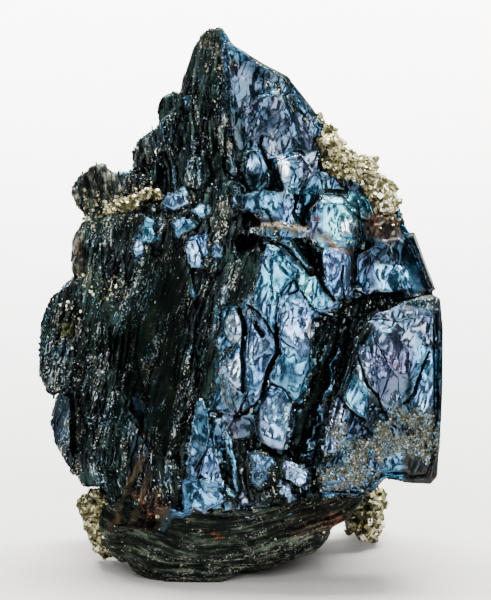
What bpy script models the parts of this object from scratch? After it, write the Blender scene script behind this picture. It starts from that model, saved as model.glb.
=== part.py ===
"""A covellite specimen: a book of blue cleavage plates that leans back, with pyrite grown in its seams.

Every outline is drawn on the main cleavage, in millimetres: first across it, positive to the right, then up it.
Depths are measured out of the cleavage, positive towards the front. Metres, +Z up, front towards -Y.
"""

import random
from collections import namedtuple
from math import cos, pi, radians, sin

import bmesh
import bpy
from mathutils import Euler, Vector

MM = 0.001
SEED = 12
LEAN = radians(13)  # the main cleavage leans back this far from upright
TOE = (0.1, 8.8)  # height up the cleavage and depth of the foremost point that the specimen stands on
MIDDLE = (0.05, 15.4)  # of the specimen's box: across, and how far behind the foremost point
GAP = 0.3  # left between the covellite and the pyrite in its pockets
SAME_PLACE = 0.0002  # corners nearer than this are one
FLAT = radians(2)  # faces that meet at less than this are made one

# The widest outline of the covellite, clockwise from the peak.
OUTLINE = (
    (-2.8, 56.2), (-1.6, 55.6), (0.0, 53.8), (2.2, 52.4), (4.6, 51.0), (6.1, 49.2), (8.4, 46.1),
    (9.9, 43.7), (11.9, 41.2), (13.7, 39.3), (15.8, 38.6), (16.6, 36.6), (17.5, 35.6), (18.4, 33.2),
    (19.3, 30.7), (20.0, 28.7), (19.9, 25.7), (18.8, 21.7), (17.2, 17.7), (15.4, 14.2), (13.8, 11.2),
    (12.8, 8.9), (10.5, 6.7), (7.8, 5.1), (5.0, 3.5), (1.5, 2.0), (-2.0, 0.3), (-5.0, 0.0), (-8.0, 0.5),
    (-11.0, 1.8), (-13.2, 3.8), (-14.0, 6.2), (-13.5, 8.6), (-14.8, 10.9), (-16.6, 12.9), (-17.4, 15.7),
    (-18.3, 18.7), (-19.9, 21.5), (-20.2, 23.7), (-19.6, 26.5), (-18.4, 28.7), (-16.4, 30.7),
    (-16.2, 32.5), (-16.1, 36.2), (-15.4, 38.2), (-12.8, 40.2), (-10.9, 42.1), (-10.7, 43.9),
    (-8.0, 46.0), (-6.3, 48.9), (-5.3, 51.9), (-4.2, 54.9),
)
WAIST = 27.0  # the height up the cleavage about which each layer of the book is drawn in

# The book's layers, from back to front: depth of the layer's middle, share of the width, share of the height
# above the waist.
Layer = namedtuple("Layer", "depth width top")
LAYERS = (
    Layer(-11.6, 0.52, 0.46),
    Layer(-9.8, 0.68, 0.62),
    Layer(-8.0, 0.80, 0.76),
    Layer(-6.1, 0.90, 0.86),
    Layer(-4.2, 0.96, 0.95),
    Layer(-2.3, 0.99, 0.98),
    Layer(-0.4, 1.00, 1.00),
    Layer(1.4, 0.91, 0.93),
    Layer(3.2, 0.72, 0.52),
    Layer(5.0, 0.52, 0.26),
)
LAYER_THICKNESS = 2.3  # more than the spacing, so that each layer is grown into the next
LAYER_RAGGED = 0.5  # how far a layer's rim strays inwards
HALF_WIDTH = 20  # of the specimen, of which the ragged rim takes its share
CARRIER = 5  # the number of the layer that all the rest is joined to
FULL_WIDTH = 0.985  # a layer at least this wide keeps every point of the outline
UNDER_TABLE = 0.6  # how far a layer goes on below the table before it is cut off there
SKIPPED = 0.4  # share of the outline's points that an inner layer leaves out, so that no two are alike
LAYER_TILT = radians(2.5)

# A plate stands on the book: its outline, the depth of its middle, how fast its face comes forward towards the
# right and towards the top, how thick it is, how much wider its back is, and how far its back is shifted.
Plate = namedtuple("Plate", "outline depth right up thick spread shift", defaults=(5.0, 1.12, (0, 0)))

PEAK = {
    "spine": Plate(
        ((-2.8, 56.2), (-3.8, 55.7), (-4.5, 54.0), (-5.2, 51.8), (-5.4, 49.2), (-4.5, 43.7), (-3.4, 40.2),
         (-1.8, 39.7), (-1.4, 44.7), (-1.3, 49.7), (-1.5, 53.2), (-1.1, 54.8), (-1.8, 55.8)),
        2.9, 0.10, -0.06, 4.5, 1.0),
    "right_flank": Plate(
        ((-1.3, 54.6), (0.1, 53.8), (2.2, 52.4), (4.6, 51.1), (6.1, 49.2), (8.5, 46.1), (7.6, 42.7),
         (5.0, 41.2), (0.0, 41.7), (-1.2, 46.7)),
        3.1, -0.14, -0.10, 4.5, 1.0),
    "face": Plate(
        ((0.0, 47.4), (2.2, 49.2), (4.6, 49.5), (5.4, 47.2), (5.9, 44.7), (5.0, 43.7), (3.2, 43.1),
         (2.2, 43.9), (2.1, 45.2), (0.6, 44.7)),
        4.2, -0.05, -0.13),
    "edge_strip": Plate(((6.0, 47.6), (7.2, 46.9), (8.0, 45.6), (6.9, 43.9), (6.3, 45.2)), 3.4, -0.3, -0.1),
    "left_flank": Plate(
        ((-6.2, 48.8), (-5.4, 50.0), (-4.9, 45.7), (-4.0, 40.7), (-6.0, 38.7), (-9.0, 39.0), (-10.6, 42.0),
         (-10.7, 43.8), (-9.8, 45.0), (-7.8, 46.1)),
        2.5, 0.22, -0.05, 4.5, 1.0),
    "lug": Plate(
        ((-7.9, 47.5), (-7.6, 48.6), (-6.7, 49.8), (-6.0, 49.3), (-6.0, 47.3), (-6.6, 45.6), (-7.6, 46.2)),
        1.0, 0.3, 0.0, 3.0, 1.0),
}
BROW = {
    "left": Plate(
        ((0.3, 43.6), (2.1, 43.8), (3.0, 42.2), (3.2, 40.2), (1.0, 39.7), (0.2, 41.6)),
        5.2, 0.1, -0.20),
    "right": Plate(((3.5, 42.6), (5.7, 43.4), (6.8, 41.7), (6.0, 39.8), (4.2, 39.8)), 5.3, -0.15, -0.25),
    "lower": Plate(
        ((0.6, 39.3), (2.2, 39.8), (4.5, 39.6), (5.8, 39.4), (5.1, 37.4), (5.6, 36.2), (3.0, 35.9),
         (1.0, 37.2)),
        6.1, -0.05, -0.25),
    "ledge": Plate(
        ((-0.4, 35.6), (1.5, 36.1), (4.0, 36.4), (7.5, 35.6), (9.4, 34.3), (9.0, 33.6), (6.0, 34.8),
         (2.4, 34.9)),
        7.9, 0.0, -0.3),
    "left_shelf": Plate(
        ((-10.0, 37.0), (-8.8, 38.8), (-6.0, 38.4), (-4.6, 36.2), (-5.2, 33.0), (-8.4, 33.6)),
        5.4, 0.16, -0.22, 4.5),
    "middle_shelf": Plate(
        ((-6.4, 38.0), (-5.6, 40.0), (-3.2, 39.6), (-2.4, 37.4), (-3.0, 35.4), (-4.8, 34.6), (-6.0, 36.0)),
        5.9, -0.10, -0.20, 4.5),
    "right_shelf": Plate(
        ((-3.4, 37.6), (-2.8, 40.4), (-0.6, 40.8), (0.6, 38.6), (0.6, 36.0), (-0.4, 34.2), (-2.6, 34.6)),
        6.3, 0.10, -0.26, 4.5),
    "under_shelf": Plate(
        ((-6.2, 34.4), (-3.4, 35.4), (-0.2, 34.6), (0.0, 32.8), (-3.0, 31.4), (-5.6, 32.2)),
        7.2, 0.14, -0.14, 4.5),
}
SHOULDER = {
    "plate": Plate(
        ((6.8, 37.6), (8.0, 39.2), (10.2, 38.9), (11.6, 37.4), (12.0, 34.7), (11.2, 33.5), (9.8, 34.0),
         (8.0, 35.4), (6.8, 36.0)),
        7.1, -0.18, -0.18),
    "strip": Plate(
        ((10.4, 40.9), (12.0, 40.4), (13.2, 38.2), (13.8, 36.5), (12.2, 36.9), (11.0, 38.7)),
        4.5, -0.25, -0.2),
    "finger": Plate(
        ((8.2, 33.4), (9.0, 33.9), (10.5, 33.9), (11.2, 33.0), (11.2, 29.8), (10.6, 27.6), (9.6, 28.3),
         (8.8, 30.2), (8.3, 31.7)),
        8.9, -0.28, -0.04),
    "back_face": Plate(
        ((11.8, 33.2), (14.5, 34.6), (17.4, 35.2), (18.6, 31.9), (19.4, 29.9), (16.0, 28.6), (13.5, 28.9),
         (11.6, 29.8)),
        4.6, -0.36, -0.08, 4.5),
    "rusty_knob": Plate(
        ((12.8, 36.4), (14.6, 38.0), (16.2, 36.6), (16.0, 34.9), (13.4, 34.4)),
        3.4, -0.5, -0.3),
}
CENTRE = {
    "upper": Plate(
        ((2.7, 34.4), (4.4, 32.8), (5.9, 31.1), (5.2, 30.6), (4.0, 28.2), (3.7, 24.4), (2.3, 25.8),
         (1.1, 28.2),
         (1.7, 31.2)),
        9.9, 0.10, -0.12),
    "strip": Plate(((3.1, 34.7), (5.2, 34.7), (7.2, 31.8), (6.4, 31.3), (4.7, 33.0)), 9.2, -0.1, -0.2),
    "right_upper": Plate(
        ((6.3, 31.7), (8.2, 30.6), (10.2, 28.2), (9.0, 27.1), (7.6, 26.9), (6.1, 29.5), (5.6, 30.6)),
        9.6, -0.10, -0.20),
    "right": Plate(
        ((4.3, 28.6), (5.9, 29.3), (7.2, 26.9), (7.7, 26.4), (7.6, 24.9), (7.1, 23.7), (7.6, 22.2),
         (6.8, 20.7),
         (6.8, 18.9), (5.8, 18.2), (5.0, 19.6), (3.1, 20.6), (2.9, 21.2), (4.1, 23.2), (4.1, 25.7)),
        10.2, -0.06, -0.03),
    "low_face": Plate(
        ((2.9, 19.9), (4.6, 19.4), (5.6, 17.7), (5.3, 15.9), (5.0, 14.3), (4.0, 13.7), (2.3, 14.4),
         (1.7, 16.2),
         (2.1, 18.2)),
        10.0, -0.04, -0.05),
    "left": Plate(
        ((1.2, 26.6), (2.2, 25.5), (3.4, 24.3), (3.8, 23.5), (2.5, 21.2), (2.2, 19.3), (1.0, 17.9),
         (0.7, 20.7),
         (0.9, 24.0)),
        9.9, 0.12, -0.06),
    "scale_upper": Plate(
        ((-0.3, 27.8), (0.1, 25.7), (0.2, 24.0), (-1.0, 24.9), (-1.5, 25.9)),
        9.1, 0.2, -0.1, 3.0),
    "scale_middle": Plate(
        ((-1.8, 22.5), (-1.0, 23.6), (0.1, 23.4), (0.2, 20.3), (-0.6, 19.7),
         (-1.8, 21.5)), 9.2, 0.16, -0.12, 3.0),
    "scale_lower": Plate(((-0.8, 19.2), (0.0, 19.5), (-0.1, 18.0), (-0.4, 17.6)), 9.1, 0.1, 0.0, 3.0),
    "rib": Plate(
        ((-1.5, 32.4), (1.8, 34.1), (2.2, 32.4), (0.8, 28.7), (0.3, 26.0), (0.6, 20.0), (-0.4, 17.0),
         (-2.8, 17.6),
         (-4.2, 19.0), (-4.4, 23.7), (-3.5, 28.7)),
        8.2, 0.34, 0.0, 4.5),
}
LOWER = {
    "rib_foot": Plate(
        ((-4.4, 19.2), (-3.2, 18.7), (-2.8, 15.7), (-3.5, 11.7), (-4.5, 10.7), (-5.7, 10.7), (-5.4, 13.7),
         (-5.0, 16.7)),
        8.6, 0.22, 0.0),
    "blade_left": Plate(
        ((-3.3, 13.7), (-2.2, 14.2), (-1.8, 11.7), (-1.2, 9.9), (-3.5, 10.1), (-4.0, 11.7)),
        8.9, 0.05, -0.05),
    "blade_right": Plate(
        ((-1.6, 16.7), (-0.7, 14.7), (0.0, 11.7), (0.6, 9.2), (-0.2, 8.7), (-1.0, 11.2),
         (-1.6, 13.7)), 9.0, 0.1, 0.0),
    "fan": Plate(
        ((-5.0, 9.2), (-3.5, 10.4), (-1.6, 10.4), (-1.4, 8.7), (-4.0, 7.5), (-5.4, 7.2)),
        8.5, 0.05, -0.30),
    "under_face": Plate(
        ((0.5, 13.7), (2.2, 13.8), (4.4, 13.1), (4.2, 10.7), (2.2, 9.6), (0.8, 10.2)),
        8.9, 0.05, 0.0),
    "bright_step": Plate(
        ((4.6, 12.9), (6.0, 12.5), (6.8, 11.6), (6.6, 9.7), (5.6, 9.9), (4.4, 10.9)),
        9.2, -0.1, -0.12),
    "small_step": Plate(((3.9, 10.5), (5.0, 10.3), (5.8, 9.2), (4.5, 8.8)), 8.8, -0.05, -0.1),
    "block": Plate(
        ((-2.6, 17.0), (1.6, 17.2), (2.0, 14.0), (6.4, 12.9), (7.4, 9.0), (3.0, 7.6), (-5.6, 7.4),
         (-5.6, 11.0)),
        7.8, 0.05, 0.05, 4.5),
}
LEFT = {
    "dark_face": Plate(
        ((-9.0, 32.9), (-6.0, 34.0), (-5.0, 32.4), (-4.3, 28.7), (-4.8, 23.7), (-5.4, 17.7), (-6.2, 13.2),
         (-9.4, 13.4), (-10.8, 16.7), (-12.0, 20.2), (-11.8, 24.7), (-10.5, 28.7)),
        6.3, 0.34, 0.0, 4.5),
    "column": Plate(
        ((-16.2, 35.2), (-15.8, 36.9), (-13.0, 37.4), (-9.5, 37.1), (-8.5, 33.7), (-10.2, 29.7),
         (-11.6, 25.7),
         (-12.8, 21.7), (-15.0, 21.7), (-15.8, 25.7), (-15.6, 29.7), (-16.3, 32.4)),
        4.8, 0.30, 0.0, 5.0, 1.0),
    "bulge": Plate(
        ((-20.2, 23.7), (-19.8, 26.2), (-18.7, 28.7), (-17.2, 30.3), (-15.6, 30.9), (-14.8, 27.7),
         (-14.8, 22.7), (-15.6, 21.5), (-17.8, 19.7), (-19.2, 19.3), (-20.0, 21.2)),
        2.6, 0.42, 0.0, 5.0, 1.0),
    "blade": Plate(
        ((-19.1, 17.2), (-18.5, 19.0), (-17.2, 19.1), (-17.0, 15.7), (-16.8, 11.6), (-17.4, 11.8),
         (-18.5, 14.4)),
        3.4, 0.5, 0.0, 5.5, 1.0, (0.6, 0.2)),
    "lower_book": Plate(
        ((-14.8, 21.5), (-12.8, 21.7), (-11.2, 17.5), (-9.0, 13.5), (-10.0, 11.5), (-12.2, 8.8),
         (-13.4, 8.8),
         (-13.9, 9.9), (-15.7, 10.1), (-16.1, 11.0), (-17.1, 11.4), (-16.8, 13.2), (-15.2, 13.7)),
        5.8, 0.30, 0.0, 7.0, 1.0),
    "arm": Plate(
        ((-16.7, 39.5), (-16.3, 41.0), (-15.2, 41.8), (-13.7, 42.1), (-12.8, 41.3), (-11.9, 41.5),
         (-9.0, 41.4),
         (-8.2, 38.2), (-11.0, 36.9), (-14.0, 37.1), (-15.7, 37.3), (-16.4, 38.4)),
        3.0, 0.24, -0.1, 6.0, 0.96),
}
RIGHT = {
    "slab": Plate(
        ((13.4, 27.3), (15.5, 28.3), (18.5, 28.9), (20.0, 28.9), (20.3, 25.7), (20.2, 18.7), (19.9, 13.7),
         (19.6, 11.2), (19.0, 10.4), (16.0, 10.6), (14.5, 10.9), (13.2, 9.6), (8.0, 9.8), (7.9, 11.7),
         (8.5, 15.2), (9.5, 18.7), (10.6, 21.5), (11.5, 24.7)),
        8.7, -0.14, -0.06, 6.5, 1.0, (-0.9, 0.6)),
    "scale_low": Plate(
        ((10.4, 18.7), (11.2, 21.2), (12.4, 21.5), (12.8, 18.7), (12.6, 16.7), (11.2, 17.6)),
        9.5, 0.0, -0.1, 2.5),
    "scale_high": Plate(((11.7, 24.2), (12.8, 23.7), (13.0, 21.6), (11.9, 21.8)), 9.4, -0.1, -0.1, 2.5),
    "ridge": Plate(
        ((13.8, 25.8), (15.4, 25.3), (15.0, 21.7), (13.9, 18.6), (13.5, 22.7)),
        9.3, -0.3, -0.1, 2.5),
    "wing": Plate(
        ((16.2, 23.7), (18.5, 26.8), (18.9, 24.2), (17.0, 20.7), (16.0, 21.2)),
        8.7, -0.2, -0.15, 2.5),
    "edge_face": Plate(((18.0, 21.7), (19.3, 22.9), (19.3, 16.7), (17.2, 17.2)), 8.5, -0.1, -0.05, 2.5),
    "corner": Plate(
        ((16.6, 11.6), (18.0, 13.2), (19.7, 12.8), (19.6, 11.1), (19.0, 10.4), (16.4, 10.6)),
        8.4, -0.1, 0.2, 3.0),
}
KEEL = {
    "left": Plate(
        ((-13.6, 8.7), (-11.0, 12.5), (-8.8, 13.5), (-6.2, 13.0), (-6.0, 8.7), (-8.0, 5.0), (-11.0, 1.9),
         (-13.2, 3.9), (-14.0, 6.2)),
        6.0, 0.36, 0.12, 4.5, 1.0),
    "front": Plate(
        ((-9.4, 3.4), (-8.2, 8.4), (-5.5, 7.6), (0.0, 7.6), (4.0, 8.4), (5.2, 4.0), (1.2, 2.1), (-2.3, 0.5),
         (-5.2, 0.1), (-7.7, 0.6)),
        7.9, -0.02, 0.26, 4.5, 1.0),
    "right": Plate(
        ((4.3, 8.6), (8.0, 9.6), (12.6, 9.2), (10.6, 6.8), (8.0, 5.3), (5.2, 3.8)),
        6.0, -0.30, 0.25, 5.0, 1.0),
    "heel": Plate(
        ((12.6, 10.4), (14.3, 10.4), (14.3, 7.3), (13.6, 5.8), (11.5, 5.4), (10.4, 7.4)),
        -6.4, -0.1, 0.0, 5.5, 1.0),
}
GROUPS = {
    "peak": PEAK, "brow": BROW, "shoulder": SHOULDER, "centre": CENTRE, "lower": LOWER, "left": LEFT,
    "right": RIGHT, "keel": KEEL,
}

# The back, which the photograph doesn't show: ragged plates in rows, each at the depth of a dome over the
# outline.
DOME_RIM = -2.5  # depth of the dome at the outline
DOME_RISE = 10.0  # how much deeper its middle is
DOME_MIDDLE, DOME_REACH = 24, 33  # height of its middle, and how far it reaches up and down from there
BACK_ROWS, BACK_COLUMNS = 7, 4
BACK_ROW_FOOT, BACK_ROW_STEP = 9, 6.2
BACK_COLUMN_START, BACK_COLUMN_RUN = 0.16, 0.68  # shares of the width at that height
BACK_PLATE = (3.4, 5.8)  # least and greatest radius
BACK_PLATE_LEAST = 1.2  # where there is no room for more
BACK_PLATE_MARGIN = 0.6  # kept to the outline, and how far the plates stand out of the dome
BACK_PLATE_TOP = 56
BACK_PLATE_RAGGED = (0.75, 1.1)  # shares of its radius
BACK_PLATE_SLOPES = (-0.12, 0.2)  # least and greatest, for each 10 mm from the middle line
BACK_PLATE_LEAN = 90  # the more, the less the plates follow the dome's slope up and down
BACK_PLATE_THICK, BACK_PLATE_SPREAD = 5.0, 1.1
SIDES_OF_BACK_PLATE = 7

# Small cleavage faces that stand a little proud of whatever is under them.
FACETS = (
    ((-9.7, 37.0), (-8.6, 36.6), (-8.4, 35.0), (-9.2, 34.2), (-9.8, 35.2)),
    ((-10.4, 34.8), (-9.6, 34.9), (-9.5, 33.4), (-10.4, 32.9), (-10.8, 33.6)),
    ((-6.8, 36.7), (-5.4, 37.0), (-4.1, 36.2), (-4.4, 35.0), (-6.4, 34.8)),
    ((-5.5, 34.6), (-4.3, 34.8), (-3.6, 33.0), (-3.8, 31.8), (-5.0, 31.8), (-5.7, 33.2)),
    ((-7.5, 39.4), (-5.4, 39.8), (-4.9, 38.4), (-6.6, 37.6), (-7.8, 38.2)),
    ((-2.9, 34.3), (-2.2, 34.8), (-1.5, 33.9), (-1.7, 32.9), (-2.6, 32.7), (-3.1, 33.4)),
    ((-5.0, 42.6), (-3.4, 43.4), (-2.6, 41.2), (-3.6, 39.4), (-5.2, 40.4)),
    ((-2.2, 38.9), (-0.6, 39.4), (0.2, 37.4), (-1.0, 36.4), (-2.4, 37.2)),
    ((-11.0, 19.2), (-9.6, 19.0), (-9.4, 17.6), (-10.6, 17.4)),
    ((8.4, 11.4), (10.8, 11.6), (12.6, 10.6), (10.6, 9.9), (8.5, 10.1)),
    ((14.5, 11.6), (16.5, 12.8), (17.2, 11.2), (15.0, 10.9)),
    ((14.0, 30.6), (16.2, 31.8), (17.4, 30.0), (15.6, 29.2), (14.0, 29.4)),
)
FACET_RELIEF = 0.7
FACET_LEAST_RELIEF = 0.3  # as a share of that
FACET_TILT, FACET_FORWARD_TILT = 0.3, 0.1
FACET_THICK, FACET_SPREAD = 3.0, 1.3

# Bunches of leaves: plates of the book seen edge-on, as long sharp ridges. Each has the top and the foot of its
# first leaf, then those of its last one, the number of leaves, and how far their crests stand out.
Bunch = namedtuple("Bunch", "first last leaves relief")
BUNCHES = {
    "upper_left": Bunch(((-15.4, 36.4), (-15.5, 31.0)), ((-9.6, 33.6), (-10.9, 27.5)), 5, 1.0),
    "bulge": Bunch(((-17.6, 29.6), (-19.2, 22.0)), ((-15.6, 30.0), (-15.6, 22.0)), 4, 0.9),
    "lower_left": Bunch(((-14.4, 27.0), (-14.6, 14.5)), ((-11.6, 27.5), (-12.6, 15.5)), 3, 1.0),
    "skirt": Bunch(((-14.6, 18.0), (-14.6, 10.6)), ((-9.8, 16.5), (-12.0, 9.4)), 4, 1.0),
    "beside_dark_face": Bunch(((-4.9, 31.0), (-7.2, 17.5)), ((-2.4, 31.5), (-5.0, 18.5)), 4, 1.1),
    "peak": Bunch(((-4.6, 52.5), (-7.6, 41.5)), ((-1.6, 52.5), (-2.6, 41.0)), 5, 0.9),
    "neck": Bunch(((-9.4, 44.6), (-10.0, 39.5)), ((-7.6, 45.6), (-7.6, 40.0)), 3, 0.9),
    "dark_edge": Bunch(((-10.4, 27.5), (-11.8, 20.0)), ((-9.6, 24.0), (-10.0, 14.0)), 2, 0.8),
    "keel": Bunch(((-10.4, 12.4), (-13.0, 5.6)), ((-7.6, 11.6), (-9.6, 4.4)), 4, 0.9),
    "cleft_wall": Bunch(((12.2, 27.6), (8.6, 14.4)), ((13.6, 27.4), (9.8, 14.0)), 3, 0.7),
    "foot": Bunch(((-12.0, 4.0), (3.4, 3.4)), ((-12.4, 7.4), (4.2, 7.0)), 4, 0.8),
}
LEAF_SWING = 0.5  # how far a leaf's ends stray sideways
LEAF_ROOT = 1.6  # how deep a leaf's root goes under the plate that it stands on
LEAF_CREST = (0.15, 0.8)  # the shares of its length between which it stands at its full height
LEAF_RELIEF = (0.6, 1.1)  # least and greatest height of its crest, as shares of the bunch's
LEAF_LEAN = 0.5  # how far the crest strays sideways, as a share of half its width
LEAF_WIDEST = 1.8
LEAF_OVERLAP = 1.25  # its width as a share of the spacing
LEAF_WIDTHS = (0.75, 1.15)

# What is cut out of the book: the outline of the hollow, and the depth of its floor.
HOLLOWS = {
    "cleft": (
        ((7.9, 26.3), (10.5, 26.6), (11.0, 25.0), (10.2, 22.0), (8.9, 18.7), (7.9, 14.0), (6.2, 13.3),
         (5.7, 14.7),
         (6.1, 17.7), (7.3, 20.7), (7.8, 24.7)), 3.2),
    "left_hollow": (((-17.0, 22.5), (-15.2, 21.3), (-15.3, 13.7), (-16.6, 13.0), (-16.9, 18.7)), 1.6),
    "brow_hollow": (((5.4, 38.4), (6.7, 39.2), (7.0, 36.4), (6.1, 35.9)), 3.6),
    "crack_long": (((5.2, 30.6), (5.5, 30.3), (4.2, 28.0), (4.0, 25.5), (3.9, 23.3), (2.9, 21.4), (2.8, 19.2),
                    (2.2, 18.2), (1.9, 18.4), (2.4, 19.6), (2.5, 21.6), (3.6, 23.6), (3.6, 25.6),
                     (3.8, 28.3)), 7.8),
    "crack_left": (((0.3, 27.9), (0.9, 27.6), (0.8, 25.0), (1.0, 20.5), (0.5, 17.9), (0.1, 18.2), (0.5, 20.6),
                    (0.3, 25.0)), 7.4),
    "crack_top": (((2.9, 34.4), (3.2, 34.7), (5.0, 33.0), (6.6, 31.3), (6.2, 31.2), (4.6, 32.6)), 7.8),
}
HOLLOW_MOUTH = 16.0  # every hollow is cut from this depth, in front of the specimen
TABLE_REACH, TABLE_DEPTH = 60, 12  # of what is cut off below the table

# Pyrite grows as cubes: middle of the cluster across, up and out of the cleavage, half its extent in the same
# directions, how far it slants up towards the right, number of cubes, and their least and greatest edge.
Cluster = namedtuple("Cluster", "middle reach slant cubes edge")
CLUSTERS = {
    "pyrite_right_shoulder": Cluster((11.2, 41.9, 0.6), (3.6, 0.9, 1.6), -0.92, 19, (1.6, 2.6)),
    "pyrite_lower_left": Cluster((-14.4, 6.4, 0.6), (0.8, 2.4, 1.6), -0.15, 13, (1.5, 2.4)),
    "pyrite_rear_foot": Cluster((12.6, 7.4, -6.9), (0.9, 1.8, 1.0), 0.20, 9, (1.7, 2.6)),
    "pyrite_left_seam": Cluster((-10.8, 38.5, 4.3), (2.4, 0.3, 0.4), 0.42, 8, (1.1, 1.5)),
}


def place(across, up, out):
    """A point given on the leaning cleavage, as a point of the standing specimen, in metres."""
    from_toe, ahead = up - TOE[0], out - TOE[1]
    return MM * Vector((
        across - MIDDLE[0],
        from_toe * sin(LEAN) - ahead * cos(LEAN) - MIDDLE[1],
        from_toe * cos(LEAN) + ahead * sin(LEAN),
    ))


def solid(name, bottom, top, collection):
    """A closed solid between two rings of as many points each."""
    mesh = bpy.data.meshes.new(name)
    count = len(bottom)
    sides = [(i, (i + 1) % count, count + (i + 1) % count, count + i) for i in range(count)]
    caps = [tuple(range(count - 1, -1, -1)), tuple(range(count, 2 * count))]
    mesh.from_pydata([*bottom, *top], [], sides + caps)
    shaped = bmesh.new()
    shaped.from_mesh(mesh)
    bmesh.ops.triangulate(shaped, faces=shaped.faces)
    bmesh.ops.recalc_face_normals(shaped, faces=shaped.faces)
    shaped.to_mesh(mesh)
    shaped.free()
    made = bpy.data.objects.new(name, mesh)
    collection.objects.link(made)
    as_guide(made)
    return made


def as_guide(made):
    """What only cuts, or is only joined to another piece, is drawn in wires and left out of pictures."""
    made.hide_render = True
    made.display_type = "WIRE"


def bring_out(piece, name, collection):
    """Makes a guide a piece of its own, which the others are joined to."""
    collection.objects.unlink(piece)
    bpy.context.scene.collection.objects.link(piece)
    piece.name = name
    piece.hide_render = False
    piece.display_type = "TEXTURED"


def helper_collection(name):
    made = bpy.data.collections.new(name)
    bpy.context.scene.collection.children.link(made)
    made.hide_render = True
    return made


def middle_of(outline):
    return [sum(point[k] for point in outline) / len(outline) for k in (0, 1)]


def add_plate(name, plate, collection, towards=1):
    """A plate with a flat, tilted face. Towards is 1 on the front of the book and -1 on its back."""
    across_mid, up_mid = middle_of(plate.outline)
    face, back = [], []
    for across, up in plate.outline:
        tilt = plate.right * (across - across_mid) + plate.up * (up - up_mid)
        face.append(place(across, up, plate.depth + tilt))
        wider = [across_mid + plate.shift[0] + plate.spread * (across - across_mid),
                 up_mid + plate.shift[1] + plate.spread * (up - up_mid)]
        back.append(place(*wider, plate.depth + tilt / 2 - towards * plate.thick))
    return solid(name, back, face, collection)


def base_height(out):
    """How far up the cleavage the table is, at this depth."""
    return TOE[0] - (out - TOE[1]) * sin(LEAN) / cos(LEAN)


def add_layers(collection, chance):
    """The book itself: layers that are each drawn in towards the waist, ragged, and slightly out of true."""
    for number, layer in enumerate(LAYERS):
        lowest = base_height(layer.depth) - UNDER_TABLE
        ring = []
        for across, up in OUTLINE:
            if chance.random() < SKIPPED and layer.width < FULL_WIDTH:
                continue
            ragged = [1 - LAYER_RAGGED * chance.random() / HALF_WIDTH for _ in range(2)]
            if up > WAIST:
                height = WAIST + (up - WAIST) * layer.top * ragged[0]
            else:
                height = WAIST - (WAIST - up) * (WAIST - lowest) / WAIST
            ring.append((across * layer.width * ragged[1], height))
        right, up = (chance.uniform(-1, 1) * sin(LAYER_TILT) for _ in range(2))
        half = LAYER_THICKNESS / 2
        loops = [
            [place(a, u, layer.depth + side * half + right * a + up * (u - WAIST)) for a, u in ring]
            for side in (-1, 1)
        ]
        solid(f"layer_{number}", *loops, collection)


def is_inside(across, up, outline):
    crossings = 0
    for (a0, u0), (a1, u1) in zip(outline, outline[1:] + outline[:1]):
        if (u0 > up) != (u1 > up) and across < a0 + (a1 - a0) * (up - u0) / (u1 - u0):
            crossings += 1
    return crossings % 2 == 1


def face_depth(across, up):
    """The depth of the foremost plate at this place."""
    depths = [0.0]
    for plates in GROUPS.values():
        for plate in plates.values():
            if is_inside(across, up, plate.outline):
                across_mid, up_mid = middle_of(plate.outline)
                depths.append(plate.depth + plate.right * (across - across_mid) + plate.up * (up - up_mid))
    return max(depths)


def add_facets(collection, chance):
    for number, outline in enumerate(FACETS):
        relief = FACET_RELIEF * chance.uniform(FACET_LEAST_RELIEF, 1)
        depth = max(face_depth(*point) for point in outline) + relief
        right = chance.uniform(-FACET_TILT, FACET_TILT)
        up = chance.uniform(-FACET_TILT, FACET_FORWARD_TILT)
        facet = Plate(outline, depth, right, up, FACET_THICK, FACET_SPREAD)
        add_plate(f"facet_{number}", facet, collection)


def add_leaf(name, top, foot, width, relief, collection, chance):
    """A long ridge with a sharp crest, which dives into the book at both ends."""
    line = Vector(foot) - Vector(top)
    sideways = Vector((-line.y, line.x)).normalized() * (width / 2)
    rings = []
    for share in LEAF_CREST:
        at = Vector(top) + line * share
        depth = face_depth(*at)
        crest = relief * chance.uniform(*LEAF_RELIEF)
        lean = sideways * chance.uniform(-LEAF_LEAN, LEAF_LEAN)
        rings.append([
            place(*(at - sideways), depth - LEAF_ROOT),
            place(*(at + sideways), depth - LEAF_ROOT),
            place(*(at + lean), depth + crest),
        ])
    tips = [place(*tip, face_depth(*tip) - LEAF_ROOT) for tip in (top, foot)]
    leaf = solid(name, *rings, collection)
    hull_with(leaf, tips)


def hull_with(target, points):
    """Makes the solid the convex hull of itself and these points."""
    shaped = bmesh.new()
    shaped.from_mesh(target.data)
    for point in points:
        shaped.verts.new(point)
    hull = bmesh.ops.convex_hull(shaped, input=shaped.verts, use_existing_faces=False)
    unused = {face for face in shaped.faces} - {g for g in hull["geom"] if isinstance(g, bmesh.types.BMFace)}
    bmesh.ops.delete(shaped, geom=list(unused), context="FACES_ONLY")
    loose = [vertex for vertex in shaped.verts if not vertex.link_faces]
    bmesh.ops.delete(shaped, geom=loose, context="VERTS")
    bmesh.ops.recalc_face_normals(shaped, faces=shaped.faces)
    shaped.to_mesh(target.data)
    shaped.free()


def add_bunches(collection, chance):
    for name, bunch in BUNCHES.items():
        first, last = ([Vector(end) for end in leaf] for leaf in (bunch.first, bunch.last))
        spacing = (last[0] - first[0]).length / (bunch.leaves - 1)
        for number in range(bunch.leaves):
            share = number / (bunch.leaves - 1)
            swing = [Vector([chance.uniform(-1, 1) * LEAF_SWING for _ in range(2)]) for _ in range(2)]
            top, foot = (first[k].lerp(last[k], share) + swing[k] for k in (0, 1))
            width = min(LEAF_WIDEST, LEAF_OVERLAP * spacing) * chance.uniform(*LEAF_WIDTHS)
            add_leaf(f"{name}_leaf_{number}", top, foot, width, bunch.relief, collection, chance)


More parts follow.
